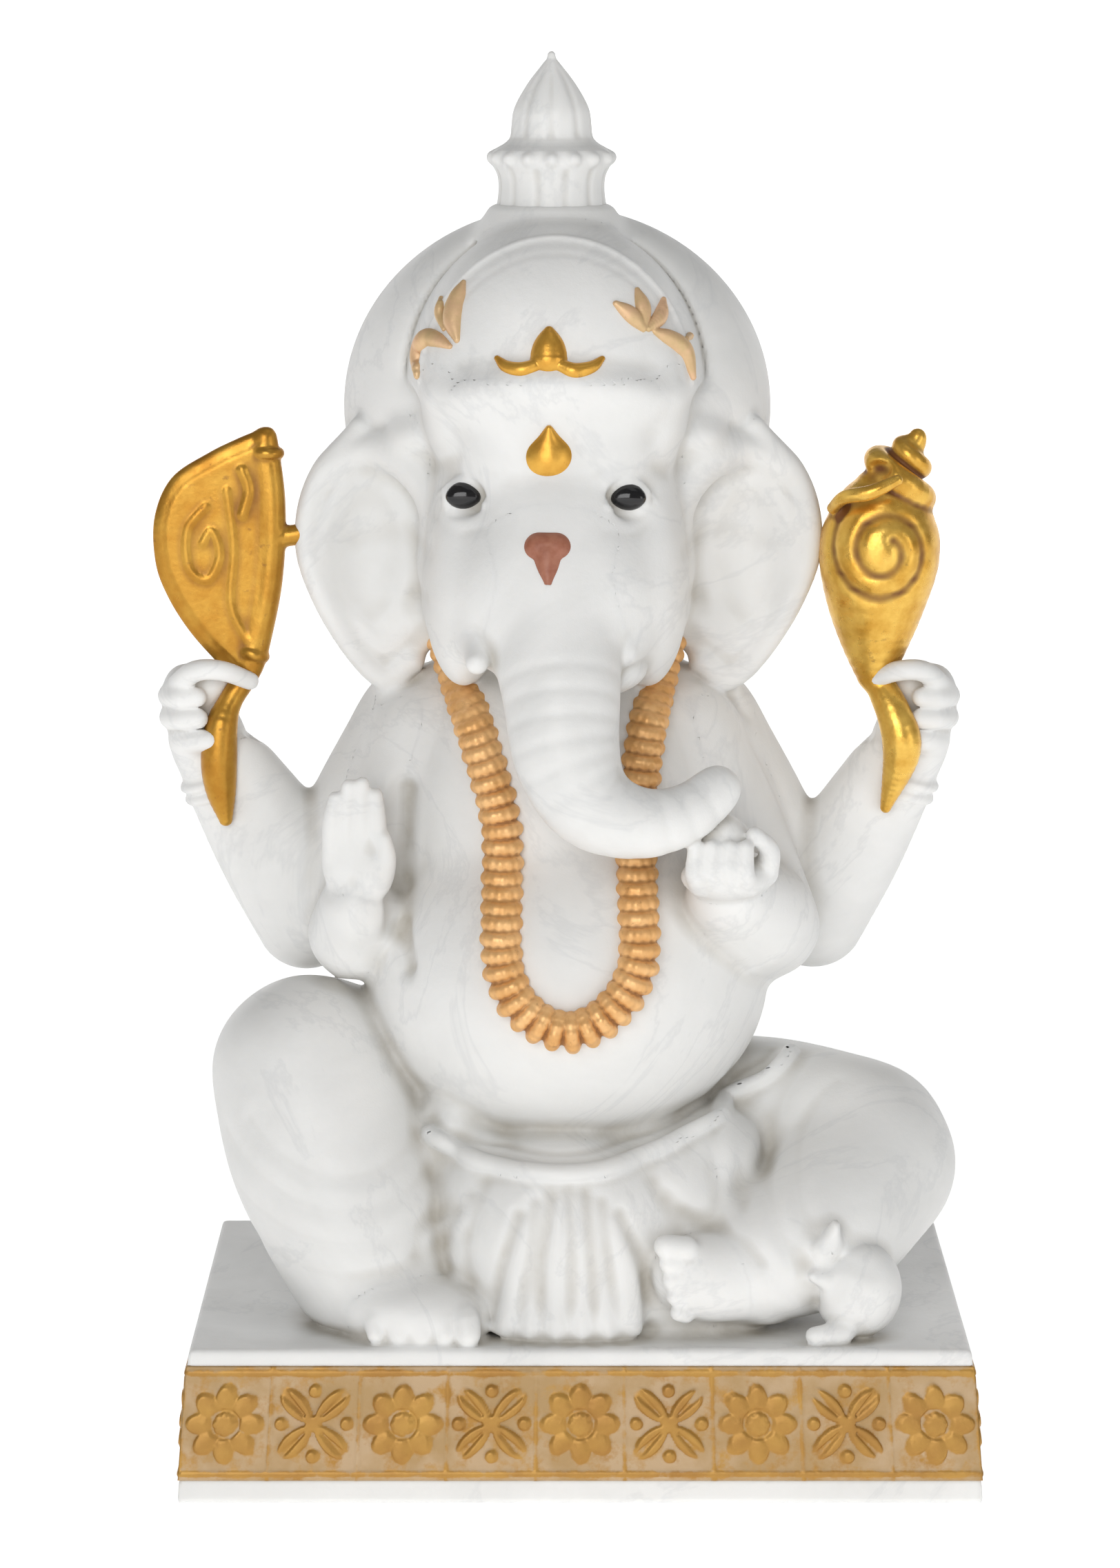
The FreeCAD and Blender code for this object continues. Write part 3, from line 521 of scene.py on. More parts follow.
def carve_face(clay):
    """Fills the cheeks and the root of the trunk, then adds the mouth beside it."""
    middle = at("head", 0.5, 0.0, 0.66)
    for out in (-1, 1):
        clay.add("head", clay.lump(middle + (13.0 * out, 11.5, -14.0), (5.4, 9.5, 14.0)), 4.0)
        clay.add("head", clay.lump(middle + (7.5 * out, 4.6, -15.0), (6.0, 7.5, 9.0)), 4.0)
        clay.add("head", clay.lump(at("head", 0.5 + 0.39 * out, 0.32, 0.87), (4.5, 7.0, 8.5)), 3.0)
    clay.add("head", clay.lump(at("head", 0.5, 0.14, 0.87), (14.0, 5.0, 5.5)), 3.0)
    clay.add("trunk", clay.lump(middle + (-0.3, 3.4, -14.0), (9.5, 7.5, 12.0)), 5.0)
    lip = at("left_tusk", 0.1, 0.55, 0.0)
    clay.add("head", clay.lump(lip + (-0.5, 1.5, -2.2), (4.6, 4.6, 2.4), ("Y", -18)), 0.9)


TRUNK_LINE = ((0.30, 0.91, 0.83), (0.31, 0.635, 0.63), (0.33, 0.42, 0.44), (0.35, 0.29, 0.28), (0.44, 0.22, 0.15),
              (0.62, 0.21, 0.10), (0.79, 0.26, 0.13), (0.90, 0.34, 0.19))
TRUNK_GIRTH = (12.0, 9.6, 8.2, 7.4, 6.2, 5.0, 4.2, 3.6)


def carve_trunk(clay):
    """Wrinkles across the front of the trunk, and two nostrils at its tip."""
    line = [(*at("trunk", *place), girth) for place, girth in zip(TRUNK_LINE, TRUNK_GIRTH)]
    line = smooth_line(line, 3.1)
    for before, here, after in zip(line[6:], line[7:], line[8:]):
        way = heading((after - before)[:3])
        ahead = heading(np.array((0, -1, 0)) + way * way[1])
        side = np.cross(ahead, way)
        turns = np.radians(np.arange(-75, 76, 15))
        wrinkle = [here[:3] + here[3] * (math.cos(t) * ahead + math.sin(t) * side) for t in turns]
        clay.score(wrinkle, 0.16, 0.75)
    tip, way = line[-1][:3], heading((line[-1] - line[-2])[:3])
    for out in (-1, 1):
        clay.carve(clay.lump(tip + 3.6 * way + np.array((0.6 * out, 0.2, 1.0 * out)), (0.8, 0.8, 0.8)), 0.3)


EAR_RIM = ((0.36, 1.0), (0.10, 0.79), (0.035, 0.55), (0.14, 0.33), (0.34, 0.12), (0.50, 0.035), (0.66, 0.10))


def carve_ear(clay, side):
    """A broad fold over the ear's root, a rolled rim round its edge, and faint folds from the root."""
    name, mirrored = side + "_ear", side == "left"
    spot = lambda fx, fy, fz: at(name, 1 - fx if mirrored else fx, fy, fz)
    clay.add(name, clay.lump(spot(0.90, -0.3, 0.50), (4.5, 6.0, 13.0)), 3.0)
    clay.add(name, clay.lump(spot(0.73, -0.5, 0.98), (4.5, 4.5, 3.0)), 2.5)
    root = [(0.92, -0.9, 0.56, 2.0), (0.84, -0.85, 0.74, 3.0), (0.66, -0.5, 0.875, 2.9), (0.42, 0.0, 0.92, 2.1),
            (0.20, 0.2, 0.84, 1.7)]
    clay.finger(name, root, 2.2, mirrored, spacing=1.2)
    clay.finger(name, [(fx, 0.22, fz, 1.6) for fx, fz in EAR_RIM], 1.6, mirrored, spacing=1.2)
    for fold in (((0.78, 0.56), (0.56, 0.60), (0.34, 0.56)), ((0.76, 0.40), (0.60, 0.34), (0.44, 0.26))):
        places = smooth_line([(*spot(fx, 0.0, fz), 0) for fx, fz in fold], 0.8)
        clay.score(clay.laid([(x, z, 0) for x, _, z, _ in places]), 0.25, 1.8)


def carve_crown(clay):
    """A rolled border round the front plate, with a finer line inside it, and a flare under the finial."""
    low, high = box("crown_front")
    x, half_width, height = (low[0] + high[0]) / 2, (high[0] - low[0]) / 2, high[2] - low[2]
    border = arch(x, low[2], 0.90 * half_width, 0.905 * height, range(4, 177, 4))
    clay.add("crown_front", clay.stroke(clay.laid([(*place, 0.42) for place in border])), 0.8)
    inner = arch(x, low[2], 0.83 * half_width, 0.82 * height, range(6, 175, 4))
    clay.score(clay.laid([(*place, 0) for place in inner]), 0.12, 0.6)
    low, high = box("finial")
    wide, top = (high[0] - low[0]) / 2, box("crown_dome")[1][2]
    flare = [(3.0, -4.2), (1.7, -2.0), (0.9, -0.8), (0.3, 0.1), (-0.6, 0.6)]
    flare = [(wide + r, top + z) for r, z in flare] + [(0, top + flare[-1][1])]
    clay.add("crown_dome", clay.turned((low[0] + high[0]) / 2, (low[1] + high[1]) / 2, flare), 1.2)


def carve_rear_hand(clay, side):
    """A fist behind the shaft that it holds, with the first finger over it, and bangles on its wrist."""
    name, arm, mirrored = f"rear_{side}_hand", f"rear_{side}_arm", side == "left"
    out = 1 if mirrored else -1
    spot = lambda fx, fy, fz: at(name, 1 - fx if mirrored else fx, fy, fz)
    clay.add(name, clay.lump(spot(0.44, 0.72, 0.56), (5.0, 4.4, 8.2), ("Y", 24 * out)), 1.0)
    clay.add(name, clay.lump(spot(0.46, 0.62, 0.86), (5.0, 4.0, 3.2), ("Y", 30 * out)), 1.5)
    for k, edge in enumerate((0.155, 0.165, 0.27)):
        z = 0.78 - 0.20 * k
        clay.finger(name, [(edge + 0.20, 0.86, z - 0.03, 1.7), (edge, 0.62, z, 1.75),
                           (edge + 0.10, 0.34, z + 0.02, 1.6), (edge + 0.28, 0.27, z + 0.03, 1.4)], 0.5, mirrored)
    clay.finger(name, [(0.20, 0.48, 0.86, 1.6), (0.42, 0.20, 1.06, 1.55), (0.68, 0.15, 1.07, 1.45),
                       (0.93, 0.36, 0.95, 1.3)], 0.6, mirrored)
    clay.finger(arm, [(0.52, 0.78, 0.24, 5.2), (0.70, 0.84, -0.22, 5.4), (1.02, 0.88, -0.78, 6.4),
                      (1.42, 0.88, -1.36, 7.4)], 3.0, mirrored, node=name, spacing=1.5)
    way = heading(spot(0.52, 0.78, 0.24) - spot(0.78, 0.84, -0.40))
    for back in (0.0, 1.9):
        clay.add(arm, clay.ring(spot(0.60, 0.80, 0.02) - back * way, way, 5.3, 0.7), 0.5)


def carve_front_right_hand(clay):
    """Raised in blessing, with its palm to the front and painted shade darkening the gap between it and the belly."""
    name = "front_right_hand"
    wrist = placed(name, [(0.36, 0.80, 0.12, 4.6), (0.30, 1.45, -0.20, 6.2)])
    clay.add("front_right_arm", clay.stroke(wrist), 3.0)
    clay.add(name, clay.lump(at(name, 0.38, 0.56, 0.52), (5.0, 2.9, 6.0)), 1.5)
    clay.add(name, clay.lump(at(name, 0.56, 0.34, 0.42), (2.4, 1.8, 3.0)), 1.2)
    for k, top in enumerate((1.09, 1.20, 1.22, 1.12)):
        fx = 0.12 + 0.155 * k
        clay.finger(name, [(fx, 0.46, 0.60, 1.35), (fx + 0.005, 0.36, 0.88, 1.35),
                           (0.16 + 0.14 * k, 0.38, top, 1.05)], 0.7)
    clay.finger(name, [(0.60, 0.44, 0.34, 1.7), (0.69, 0.30, 0.56, 1.35), (0.67, 0.26, 0.74, 1.0)], 1.0)
    gap = [(*at(name, fx, 0, fz)[[0, 2]], 0) for fx, fz in ((0.84, 1.10), (0.80, 0.60), (0.80, 0.05), (0.88, -0.35))]
    clay.score(clay.laid(smooth_line(gap, 0.8)), 2.8, 1.6)
    # Painted shade: darker spots down the gap between the hand and the belly, where shade falls.
    for fz in (1.0, 0.66, 0.32, -0.02):
        x, _, z = at(name, 0.89, 0, fz)
        clay.shade_spots.append(((x, clay.front(x, z), z), (1.7, 6.0, 3.2), 0.34))


def carve_front_left_hand(clay):
    """Cupped under the sweet, with its fingers curled up at the front."""
    name = "front_left_hand"
    wrist = placed(name, [(0.58, 0.92, 0.05, 5.6), (0.84, 1.55, -0.50, 7.6)])
    clay.add("front_left_arm", clay.stroke(wrist), 3.0)
    clay.add(name, clay.lump(at(name, 0.50, 0.50, 0.33), (6.2, 5.4, 3.1)), 1.5)
    for k in range(4):
        fx = 0.20 + 0.155 * k
        clay.finger(name, [(fx + 0.05, 0.30, 0.25, 1.45), (fx, 0.10, 0.48, 1.4), (fx + 0.01, 0.12, 0.84, 1.15)], 0.7)
    clay.finger(name, [(0.88, 0.55, 0.38, 1.8), (0.90, 0.34, 0.76, 1.45), (0.76, 0.22, 1.02, 1.1)], 1.0)


def carve_feet(clay):
    """Rounded feet, with five toes each."""
    name = "right_foot"
    clay.add(name, clay.lump(at(name, 0.44, 0.72, 0.42), (10.0, 6.8, 5.0), ("Y", 5)), 2.5)
    for k, girth in enumerate((1.35, 1.45, 1.5, 1.6, 2.0)):
        fx = 0.04 + 0.20 * k
        clay.finger(name, [(fx, 0.52 - 0.02 * k, 0.50, girth), (fx + 0.04, 0.24, 0.42, girth),
                           (fx + 0.06, 0.13, 0.22, girth * 0.9)], 0.7)
    name = "left_foot"
    clay.add(name, clay.lump(at(name, 0.56, 0.62, 0.52), (8.2, 5.0, 6.0), ("Y", 6)), 2.0)
    for k, girth in enumerate((1.75, 1.45, 1.4, 1.3, 1.2)):
        fz = 0.93 - 0.19 * k
        toe = [(0.30, 0.34, fz - 0.02, girth), (0.10 + 0.03 * k, 0.24, fz + 0.02, girth * 0.95)]
        clay.add(name, clay.stroke(placed(name, toe)), 0.7)


def swags(clay, node, middle, radii, turns, depth):
    """Cloth folds: arcs round a point, pressed into the front of a leg."""
    low, high = box(node)
    for radius in radii:
        places = arch(middle[0], middle[2], radius, radius, turns)
        places = [(x, z, 0) for x, z in places if low[0] + 1 < x < high[0] - 1 and low[2] + 1 < z < high[2]]
        clay.score(clay.laid(places), depth, 1.6)


WAIST_RIM = ((0.03, 0.86), (0.14, 0.64), (0.29, 0.54), (0.58, 0.56), (0.81, 0.88), (1.045, 1.38), (1.19, 1.90))


def carve_cloth(clay):
    """The cloth over the lap: a waist rim under the belly, fluted pleats in the middle, and folds over the legs."""
    lap = at("front_pleats", 0.45, 1.3, 0.38)
    for part, away, radii, tilt, soft in (
            ("front_pleats", (0, 0, 0), (20.0, 15.0, 15.5), 0, 3.0),
            ("front_pleats", (17.0, -5.0, -8.0), (12.0, 9.0, 8.0), 0, 3.0),
            ("front_pleats", (15.5, -2.0, 4.5), (12.0, 11.0, 11.0), -30, 4.0),
            ("front_pleats", (0.0, -7.0, 2.0), (15.0, 11.0, 13.0), 0, 3.0),
            ("front_pleats", (-15.5, 1.5, 13.5), (5.0, 8.0, 7.0), 0, 3.0),
            ("left_leg", (22.5, 1.0, 12.0), (6.0, 9.0, 5.5), -30, 3.0),
            ("front_pleats", (-11.0, -4.0, 3.0), (6.0, 9.5, 12.0), 0, 3.0)):
        clay.add(part, clay.lump(lap + away, radii, ("Y", tilt)), soft)
    rim = [at("waist_sash", fx, 0, fz)[[0, 2]] for fx, fz in WAIST_RIM]
    rim = smooth_line([(x, z, 1.35) for x, z in rim], 0.8)
    clay.add("waist_sash", clay.stroke(clay.laid(rim, 0.1)), 0.9)
    clay.score(clay.laid([(x, z + 2.2, 0) for x, z, _ in rim]), 0.3, 0.7)
    low, high = box("front_pleats")
    middle, half = (low[0] + high[0]) / 2, (high[0] - low[0]) / 2
    top = at("waist_sash", 0, 0, 0.2)[2]
    for k in range(-3, 4):
        share = k / 3.2
        bend = 0.8 * math.sin(2.3 * k + 0.7)
        line = [(middle + share * half * 0.62, top + 1.0 - 0.35 * k * k, 0),
                (middle + share * half * 0.84 + bend, (low[2] + top) / 2, 0),
                (middle + share * half * 0.98, low[2] + 1.2, 0)]
        clay.score(clay.laid(smooth_line(line, 1.0)), 0.5 + 0.12 * (k % 2), 1.15)
    for out, reach in ((-1, 1.0), (1, 1.25)):
        for k in range(3):
            start = middle + out * half * (0.95 + 0.18 * k), top + 1.5 - 2.0 * k
            end = middle + out * (half * (1.10 + 0.32 * k) * reach), low[2] + 5.5 + 3.2 * k
            bow = ((start[0] + end[0]) / 2 + 1.8 * out, (start[1] + end[1]) / 2)
            clay.score(clay.laid(smooth_line([(*start, 0), (*bow, 0), (*end, 0)], 1.0)), 0.35, 1.3)
    swags(clay, "right_leg", at("right_leg", 0.50, 0.0, 0.82), (16, 20.5, 25, 29.5), range(215, 325, 6), 0.24)
    swags(clay, "left_leg", at("left_leg", 0.74, 0.0, 0.62), (12, 16, 20, 24), range(120, 262, 7), 0.26)


def model_figure():
    """The whole white figure and its plinth as one clay."""
    corners = [box(name) for name in MARBLE]
    clay = Clay(np.min(corners, axis=(0, 1)) - 4, np.max(corners, axis=(0, 1)) + 4, BODY_STEP)
    for name, (soft, smooth) in MARBLE.items():
        clay.node(name, soft, smooth)
    carve_face(clay)
    carve_eyes(clay)
    carve_trunk(clay)
    for side in ("right", "left"):
        carve_ear(clay, side)
    carve_crown(clay)
    carve_cloth(clay)
    carve_feet(clay)
    for side in ("right", "left"):
        carve_rear_hand(clay, side)
    carve_front_right_hand(clay)
    carve_front_left_hand(clay)
    return clay


# ---------------------------------------------------------------- materials
class Shader:
    """A material's nodes, with short names for the few kinds that are used."""

    def __init__(self, name):
        self.material = bpy.data.materials.new(name)
        self.material.use_nodes = True
        self.nodes = self.material.node_tree.nodes
        self.links = self.material.node_tree.links
        self.surface = self.nodes["Principled BSDF"]
        self.place = self.nodes.new("ShaderNodeTexCoord").outputs["Object"]

    def put(self, value, socket):
        if isinstance(value, bpy.types.NodeSocket):
            self.links.new(value, socket)
        else:
            socket.default_value = value

    def noise(self, scale, detail=4.0, roughness=0.55, distortion=0.0, output="Fac"):
        node = self.nodes.new("ShaderNodeTexNoise")
        self.links.new(self.place, node.inputs["Vector"])
        for key, value in (("Scale", scale), ("Detail", detail), ("Roughness", roughness), ("Distortion", distortion)):
            node.inputs[key].default_value = value
        return node.outputs[output]

    def attribute(self, name):
        node = self.nodes.new("ShaderNodeAttribute")
        node.attribute_name = name
        return node.outputs["Fac"]

    def ramp(self, value, stops):
        node = self.nodes.new("ShaderNodeValToRGB")
        self.links.new(value, node.inputs["Fac"])
        points = node.color_ramp.elements
        while len(points) < len(stops):
            points.new(0.5)
        for point, (position, colour) in zip(points, stops):
            point.position = position
            point.color = colour if len(colour) == 4 else (*colour, 1)
        return node.outputs["Color"]

    def between(self, value, low, high, bottom=0.0, top=1.0):
        """A value's place between low and high, as bottom to top."""
        node = self.nodes.new("ShaderNodeMapRange")
        self.links.new(value, node.inputs["Value"])
        for key, number in (("From Min", low), ("From Max", high), ("To Min", bottom), ("To Max", top)):
            node.inputs[key].default_value = number
        return node.outputs["Result"]

    def mix(self, share, a, b, kind="MIX"):
        node = self.nodes.new("ShaderNodeMix")
        node.data_type, node.blend_type = "RGBA", kind
        self.put(share, node.inputs[0])
        self.put(a, node.inputs[6])
        self.put(b, node.inputs[7])
        return node.outputs[2]

    def maths(self, kind, a, b=0.0):
        node = self.nodes.new("ShaderNodeMath")
        node.operation = kind
        self.put(a, node.inputs[0])
        self.put(b, node.inputs[1])
        return node.outputs[0]

    def bump(self, height, distance):
        node = self.nodes.new("ShaderNodeBump")
        node.inputs["Distance"].default_value = distance
        self.links.new(height, node.inputs["Height"])
        self.links.new(node.outputs["Normal"], self.surface.inputs["Normal"])

    def set(self, **values):
        for key, value in values.items():
            self.put(value, self.surface.inputs[key.replace("_", " ").title().replace("Ior", "IOR")])
        return self.material


def marble():
    """Polished white marble: faint grey clouds and veins, and painted shade, a brownish grey, in the hollows."""
    s = Shader("white_marble")
    clouds = s.ramp(s.noise(28, 5, 0.6, 0.6), [(0.30, (0.70, 0.70, 0.685)), (0.70, (0.83, 0.826, 0.81))])
    veins = s.between(s.maths("ABSOLUTE", s.maths("SUBTRACT", s.noise(19, 6, 0.62, 1.8), 0.5)), 0.0, 0.022, 0.22, 0.0)
    stone = s.mix(veins, clouds, (0.52, 0.53, 0.54, 1))
    # Painted shade: the colour darkens, in patches, to a brownish grey in creases and hollows where shade falls.
    crease_shade = s.between(s.attribute("hollow"), -0.03, -0.42, 0.0, 0.75)
    patchy = s.between(s.noise(260, 3), 0.3, 0.7, 0.6, 1.0)
    stone = s.mix(s.maths("MULTIPLY", crease_shade, patchy), stone, (0.36, 0.32, 0.25, 1))
    s.bump(s.noise(900, 4, 0.6), 0.00005)
    return s.set(base_color=stone, roughness=s.between(s.noise(60, 4), 0.3, 0.7, 0.36, 0.52),
                 subsurface_weight=0.12, subsurface_radius=(1.0, 0.85, 0.7), subsurface_scale=0.0012,
                 specular_ior_level=0.3)


def gilding(name, bright, dull, recess_shade, roughness, metal):
    """Gold paint, with painted shade in the hollows, brown and less metallic, and brown speckles here and there."""
    s = Shader(name)
    paint = s.mix(s.between(s.noise(240, 5, 0.6), 0.35, 0.65), bright, dull)
    # Painted shade: brown and less metallic in the hollows, where shade falls. The speckles are the paint's own.
    hollow_shade = s.between(s.attribute("hollow"), -0.01, -0.13, 0.0, 1.0)
    speckle = s.between(s.noise(620, 4, 0.7), 0.62, 0.74, 0.0, 0.5)
    brown = s.maths("MAXIMUM", hollow_shade, speckle)
    s.bump(s.noise(1400, 3), 0.00004)
    return s.set(base_color=s.mix(brown, paint, recess_shade), metallic=s.between(brown, 0.0, 1.0, metal, 0.15),
                 roughness=s.maths("ADD", s.between(s.noise(420, 4), 0.3, 0.7, roughness - 0.07, roughness + 0.10),
                                   s.between(brown, 0, 1, 0, 0.25)))


# ---------------------------------------------------------------- camera, light and floor
CAMERA_PLACE = Vector((-2.8, -717.3, 215.0)) * MM
CAMERA_PITCH = 9.5      # degrees below the level
CAMERA_VIEW = 17.56     # degrees from the top of the picture to its foot
AIM = (0, 0, 0.1)
SOFTBOXES = (           # name, place, target, size in metres, power in watts
    ("front_softbox", (-0.30, -1.32, 0.52), AIM, 0.8, 8.3),
    ("right_softbox", (1.1, -0.9, 0.3), AIM, 0.6, 2.2),
    ("top_softbox", (0.3, -0.3, 1.3), AIM, 0.6, 0.5),
    ("backdrop_softbox", (0.0, 1.0, 1.5), (0, 2.2, 0.9), 1.2, 5),
)
ROOM_LIGHT = 0.22       # strength of the even white light from all round
PAPER_GLOW = 0.78       # light that the backdrop paper gives off itself


def camera():
    """The photo's viewpoint."""
    lens = bpy.data.cameras.new("camera")
    lens.sensor_fit = "VERTICAL"
    lens.angle_y = math.radians(CAMERA_VIEW)
    lens.clip_start = 0.01
    eye = bpy.data.objects.new("camera", lens)
    eye.location = CAMERA_PLACE
    eye.rotation_euler = (math.radians(90 - CAMERA_PITCH), 0, 0)
    bpy.context.scene.collection.objects.link(eye)
    bpy.context.scene.camera = eye


def softbox(name, place, target, size, power):
    lamp = bpy.data.lights.new(name, "AREA")
    lamp.shape, lamp.size, lamp.energy = "SQUARE", size, power
    box_light = bpy.data.objects.new(name, lamp)
    box_light.location = place
    box_light.rotation_euler = (Vector(target) - Vector(place)).to_track_quat("-Z", "Y").to_euler()
    bpy.context.scene.collection.objects.link(box_light)


def lights():
    """Four softboxes in a white room."""
    for row in SOFTBOXES:
        softbox(*row)
    world = bpy.data.worlds.new("studio")
    world.use_nodes = True
    world.node_tree.nodes["Background"].inputs["Color"].default_value = (1, 1, 1, 1)
    world.node_tree.nodes["Background"].inputs["Strength"].default_value = ROOM_LIGHT
    bpy.context.scene.world = world


def floor():
    """A pale floor that curves up into a backdrop and glows with painted light of its own."""
    s = Shader("studio_paper")
    paper = s.ramp(s.noise(6, 2), [(0.3, (0.90, 0.90, 0.90)), (0.7, (0.93, 0.93, 0.93))])
    # Painted light: the paper glows, though it is no lamp, and so lights the figure from below.
    material = s.set(base_color=paper, roughness=0.9, emission_color=paper, emission_strength=PAPER_GLOW)
    turn = np.radians(np.linspace(0, 90, 13))
    profile = [(-3.0, 0.0)] + [(1.2 + 0.8 * math.sin(t), 0.8 - 0.8 * math.cos(t)) for t in turn] + [(2.0, 1.1)]
    points = [(x, y, z) for y, z in profile for x in (-4.0, 4.0)]
    faces = [(2 * i, 2 * i + 1, 2 * i + 3, 2 * i + 2) for i in range(len(profile) - 1)]
    sweep = mesh_of("studio_floor", np.array(points) / MM, np.array(faces))
    sweep.data.materials.append(material)


# ---------------------------------------------------------------- gilded pieces and the rest
def local_clay(node, room, step):
    """Empty clay round one node's box."""
    low, high = box(node)
    return Clay(low - room, high + room, step)


def model_axe():
    """A leaf-shaped blade with a raised border, on a shaft that passes through the hand to a pointed tail."""
    name = "axe"
    clay = local_clay(name, 3, TRIM_STEP)
    spot = lambda fx, fz: at(name, fx, 0, fz)[[0, 2]]
    y = at(name, 0, 0.62, 0)[1]
    edge = [(0.75, 0.985), (0.61, 0.965), (0.385, 0.925), (0.142, 0.865), (0.03, 0.77), (0.035, 0.66), (0.11, 0.58),
            (0.24, 0.50), (0.40, 0.43), (0.56, 0.375), (0.70, 0.40), (0.78, 0.60), (0.83, 0.82), (0.80, 0.97)]
    edge = [spot(*e) for e in edge]
    rim = smooth_line([(*e, 0) for e in edge + edge[:1]], 0.8)[:, :2]
    clay.blend(clay.plate(rim, y, 1.5, 3.2), 0)
    middle = rim.mean(0)
    border = [(x, y, z, 1.0) for x, z in middle + (rim - middle) * (0.90, 0.945)]
    clay.blend(clay.stroke(border), 0.7)
    for face in (-1, 1):
        curl = [(0.36, 0.80), (0.24, 0.74), (0.25, 0.65), (0.37, 0.62), (0.45, 0.68), (0.40, 0.74), (0.34, 0.71)]
        stem = [(0.62, 0.47), (0.52, 0.56), (0.54, 0.70), (0.50, 0.84)]
        bud = [(0.60, 0.78), (0.64, 0.84), (0.60, 0.89)]
        for line, r in ((curl, 0.5), (stem, 0.45), (bud, 0.7)):
            points = smooth_line([(*spot(*p), r) for p in line], 0.5)
            clay.blend(clay.stroke([(x, y + face * 1.2, z, r) for x, z, r in points]), 0.5)
    shaft = [(0.75, 0.965, 1.55), (0.79, 0.80, 1.9), (0.76, 0.60, 1.9), (0.64, 0.41, 1.8), (0.51, 0.32, 1.7),
             (0.45, 0.26, 2.3), (0.43, 0.175, 2.6), (0.44, 0.10, 2.2), (0.47, 0.025, 1.0)]
    shaft = [(*spot(fx, fz), r) for fx, fz, r in shaft]
    tail_y = lambda z: y - 1.6 * min(max((at(name, 0, 0, 0.36)[2] - z) / 6, 0), 1)
    clay.blend(clay.stroke([(x, tail_y(z), z, r) for x, z, r in smooth_line(shaft, 1.0)]), 0.8)
    for fx, fz, way in ((0.765, 0.93, (0.05, 0, 1)), (0.66, 0.435, (0.35, 0, 1))):
        x, z = spot(fx, fz)
        clay.blend(clay.ring((x, y, z), way, 1.5, 0.85), 0.3)
    lug = at(name, 0.8, 0, 0.72), at(name, 0.97, 0, 0.73)
    clay.blend(clay.stroke([(x, y, z, 1.5) for x, _, z in lug]), 0.6)
    return clay


def model_conch():
    """A shell with a small spire at the upper right, its mouth below that, and a line wound round its body."""
    name = "conch"
    clay = local_clay(name, 3, TRIM_STEP)
    spot = lambda fx, fy, fz: at(name, fx, fy, fz)
    shell = [(0.50, 0.5, 0.755, 7.2), (0.49, 0.5, 0.69, 8.6), (0.47, 0.5, 0.59, 7.4), (0.46, 0.5, 0.48, 5.2),
             (0.46, 0.5, 0.375, 2.7)]
    clay.blend(clay.stroke(smooth_line(placed(name, shell), 1.5)), 0)
    foot, tip = spot(0.56, 0.5, 0.84), spot(0.79, 0.5, 0.975)
    side = np.cross(heading(tip - foot), (0, 1, 0))
    turns = np.linspace(0, 2.3 * 2 * math.pi, 60)
    whorl = []
    for t in turns:
        share = t / turns[-1]
        around = math.cos(t - 2.6) * np.array((0, -1, 0)) + math.sin(t - 2.6) * side
        along = foot + (tip - foot) * share ** 0.8
        whorl.append((*(along + (4.6 * (1 - share) + 0.3) * around), 1.6 * (1 - share) + 0.7))
    clay.blend(clay.stroke(whorl), 0.7)
    clay.blend(clay.stroke([(*foot, 4.6), (*tip, 1.2)]), 0.8)
    wound = []
    turns = np.linspace(0, 1.75 * 2 * math.pi, 50)
    for t in turns:
        r = 7.6 - 5.6 * t / turns[-1]
        x, z = spot(0.50, 0, 0.70)[[0, 2]] + (r * math.cos(t + 2.4), 1.05 * r * math.sin(t + 2.4))
        wound.append((x, z, 0))
    clay.score(clay.laid(wound), 0.4, 1.0)
    clay.carve(clay.lump(spot(0.33, 0.12, 0.885), (4.6, 4.2, 2.3), ("Y", -24)), 0.6)
    lip = [(0.09, 0.34, 0.80, 0.8), (0.18, 0.12, 0.835, 1.0), (0.38, 0.02, 0.85, 1.05), (0.60, 0.04, 0.88, 0.8)]
    clay.blend(clay.stroke(smooth_line(placed(name, lip), 0.7)), 0.7)
    tail = [(0.48, 0.5, 0.36, 2.0), (0.62, 0.36, 0.27, 2.5), (0.68, 0.34, 0.18, 2.7), (0.56, 0.45, 0.03, 0.8)]
    clay.blend(clay.stroke(smooth_line(placed(name, tail), 1.0)), 0.8)
    return clay


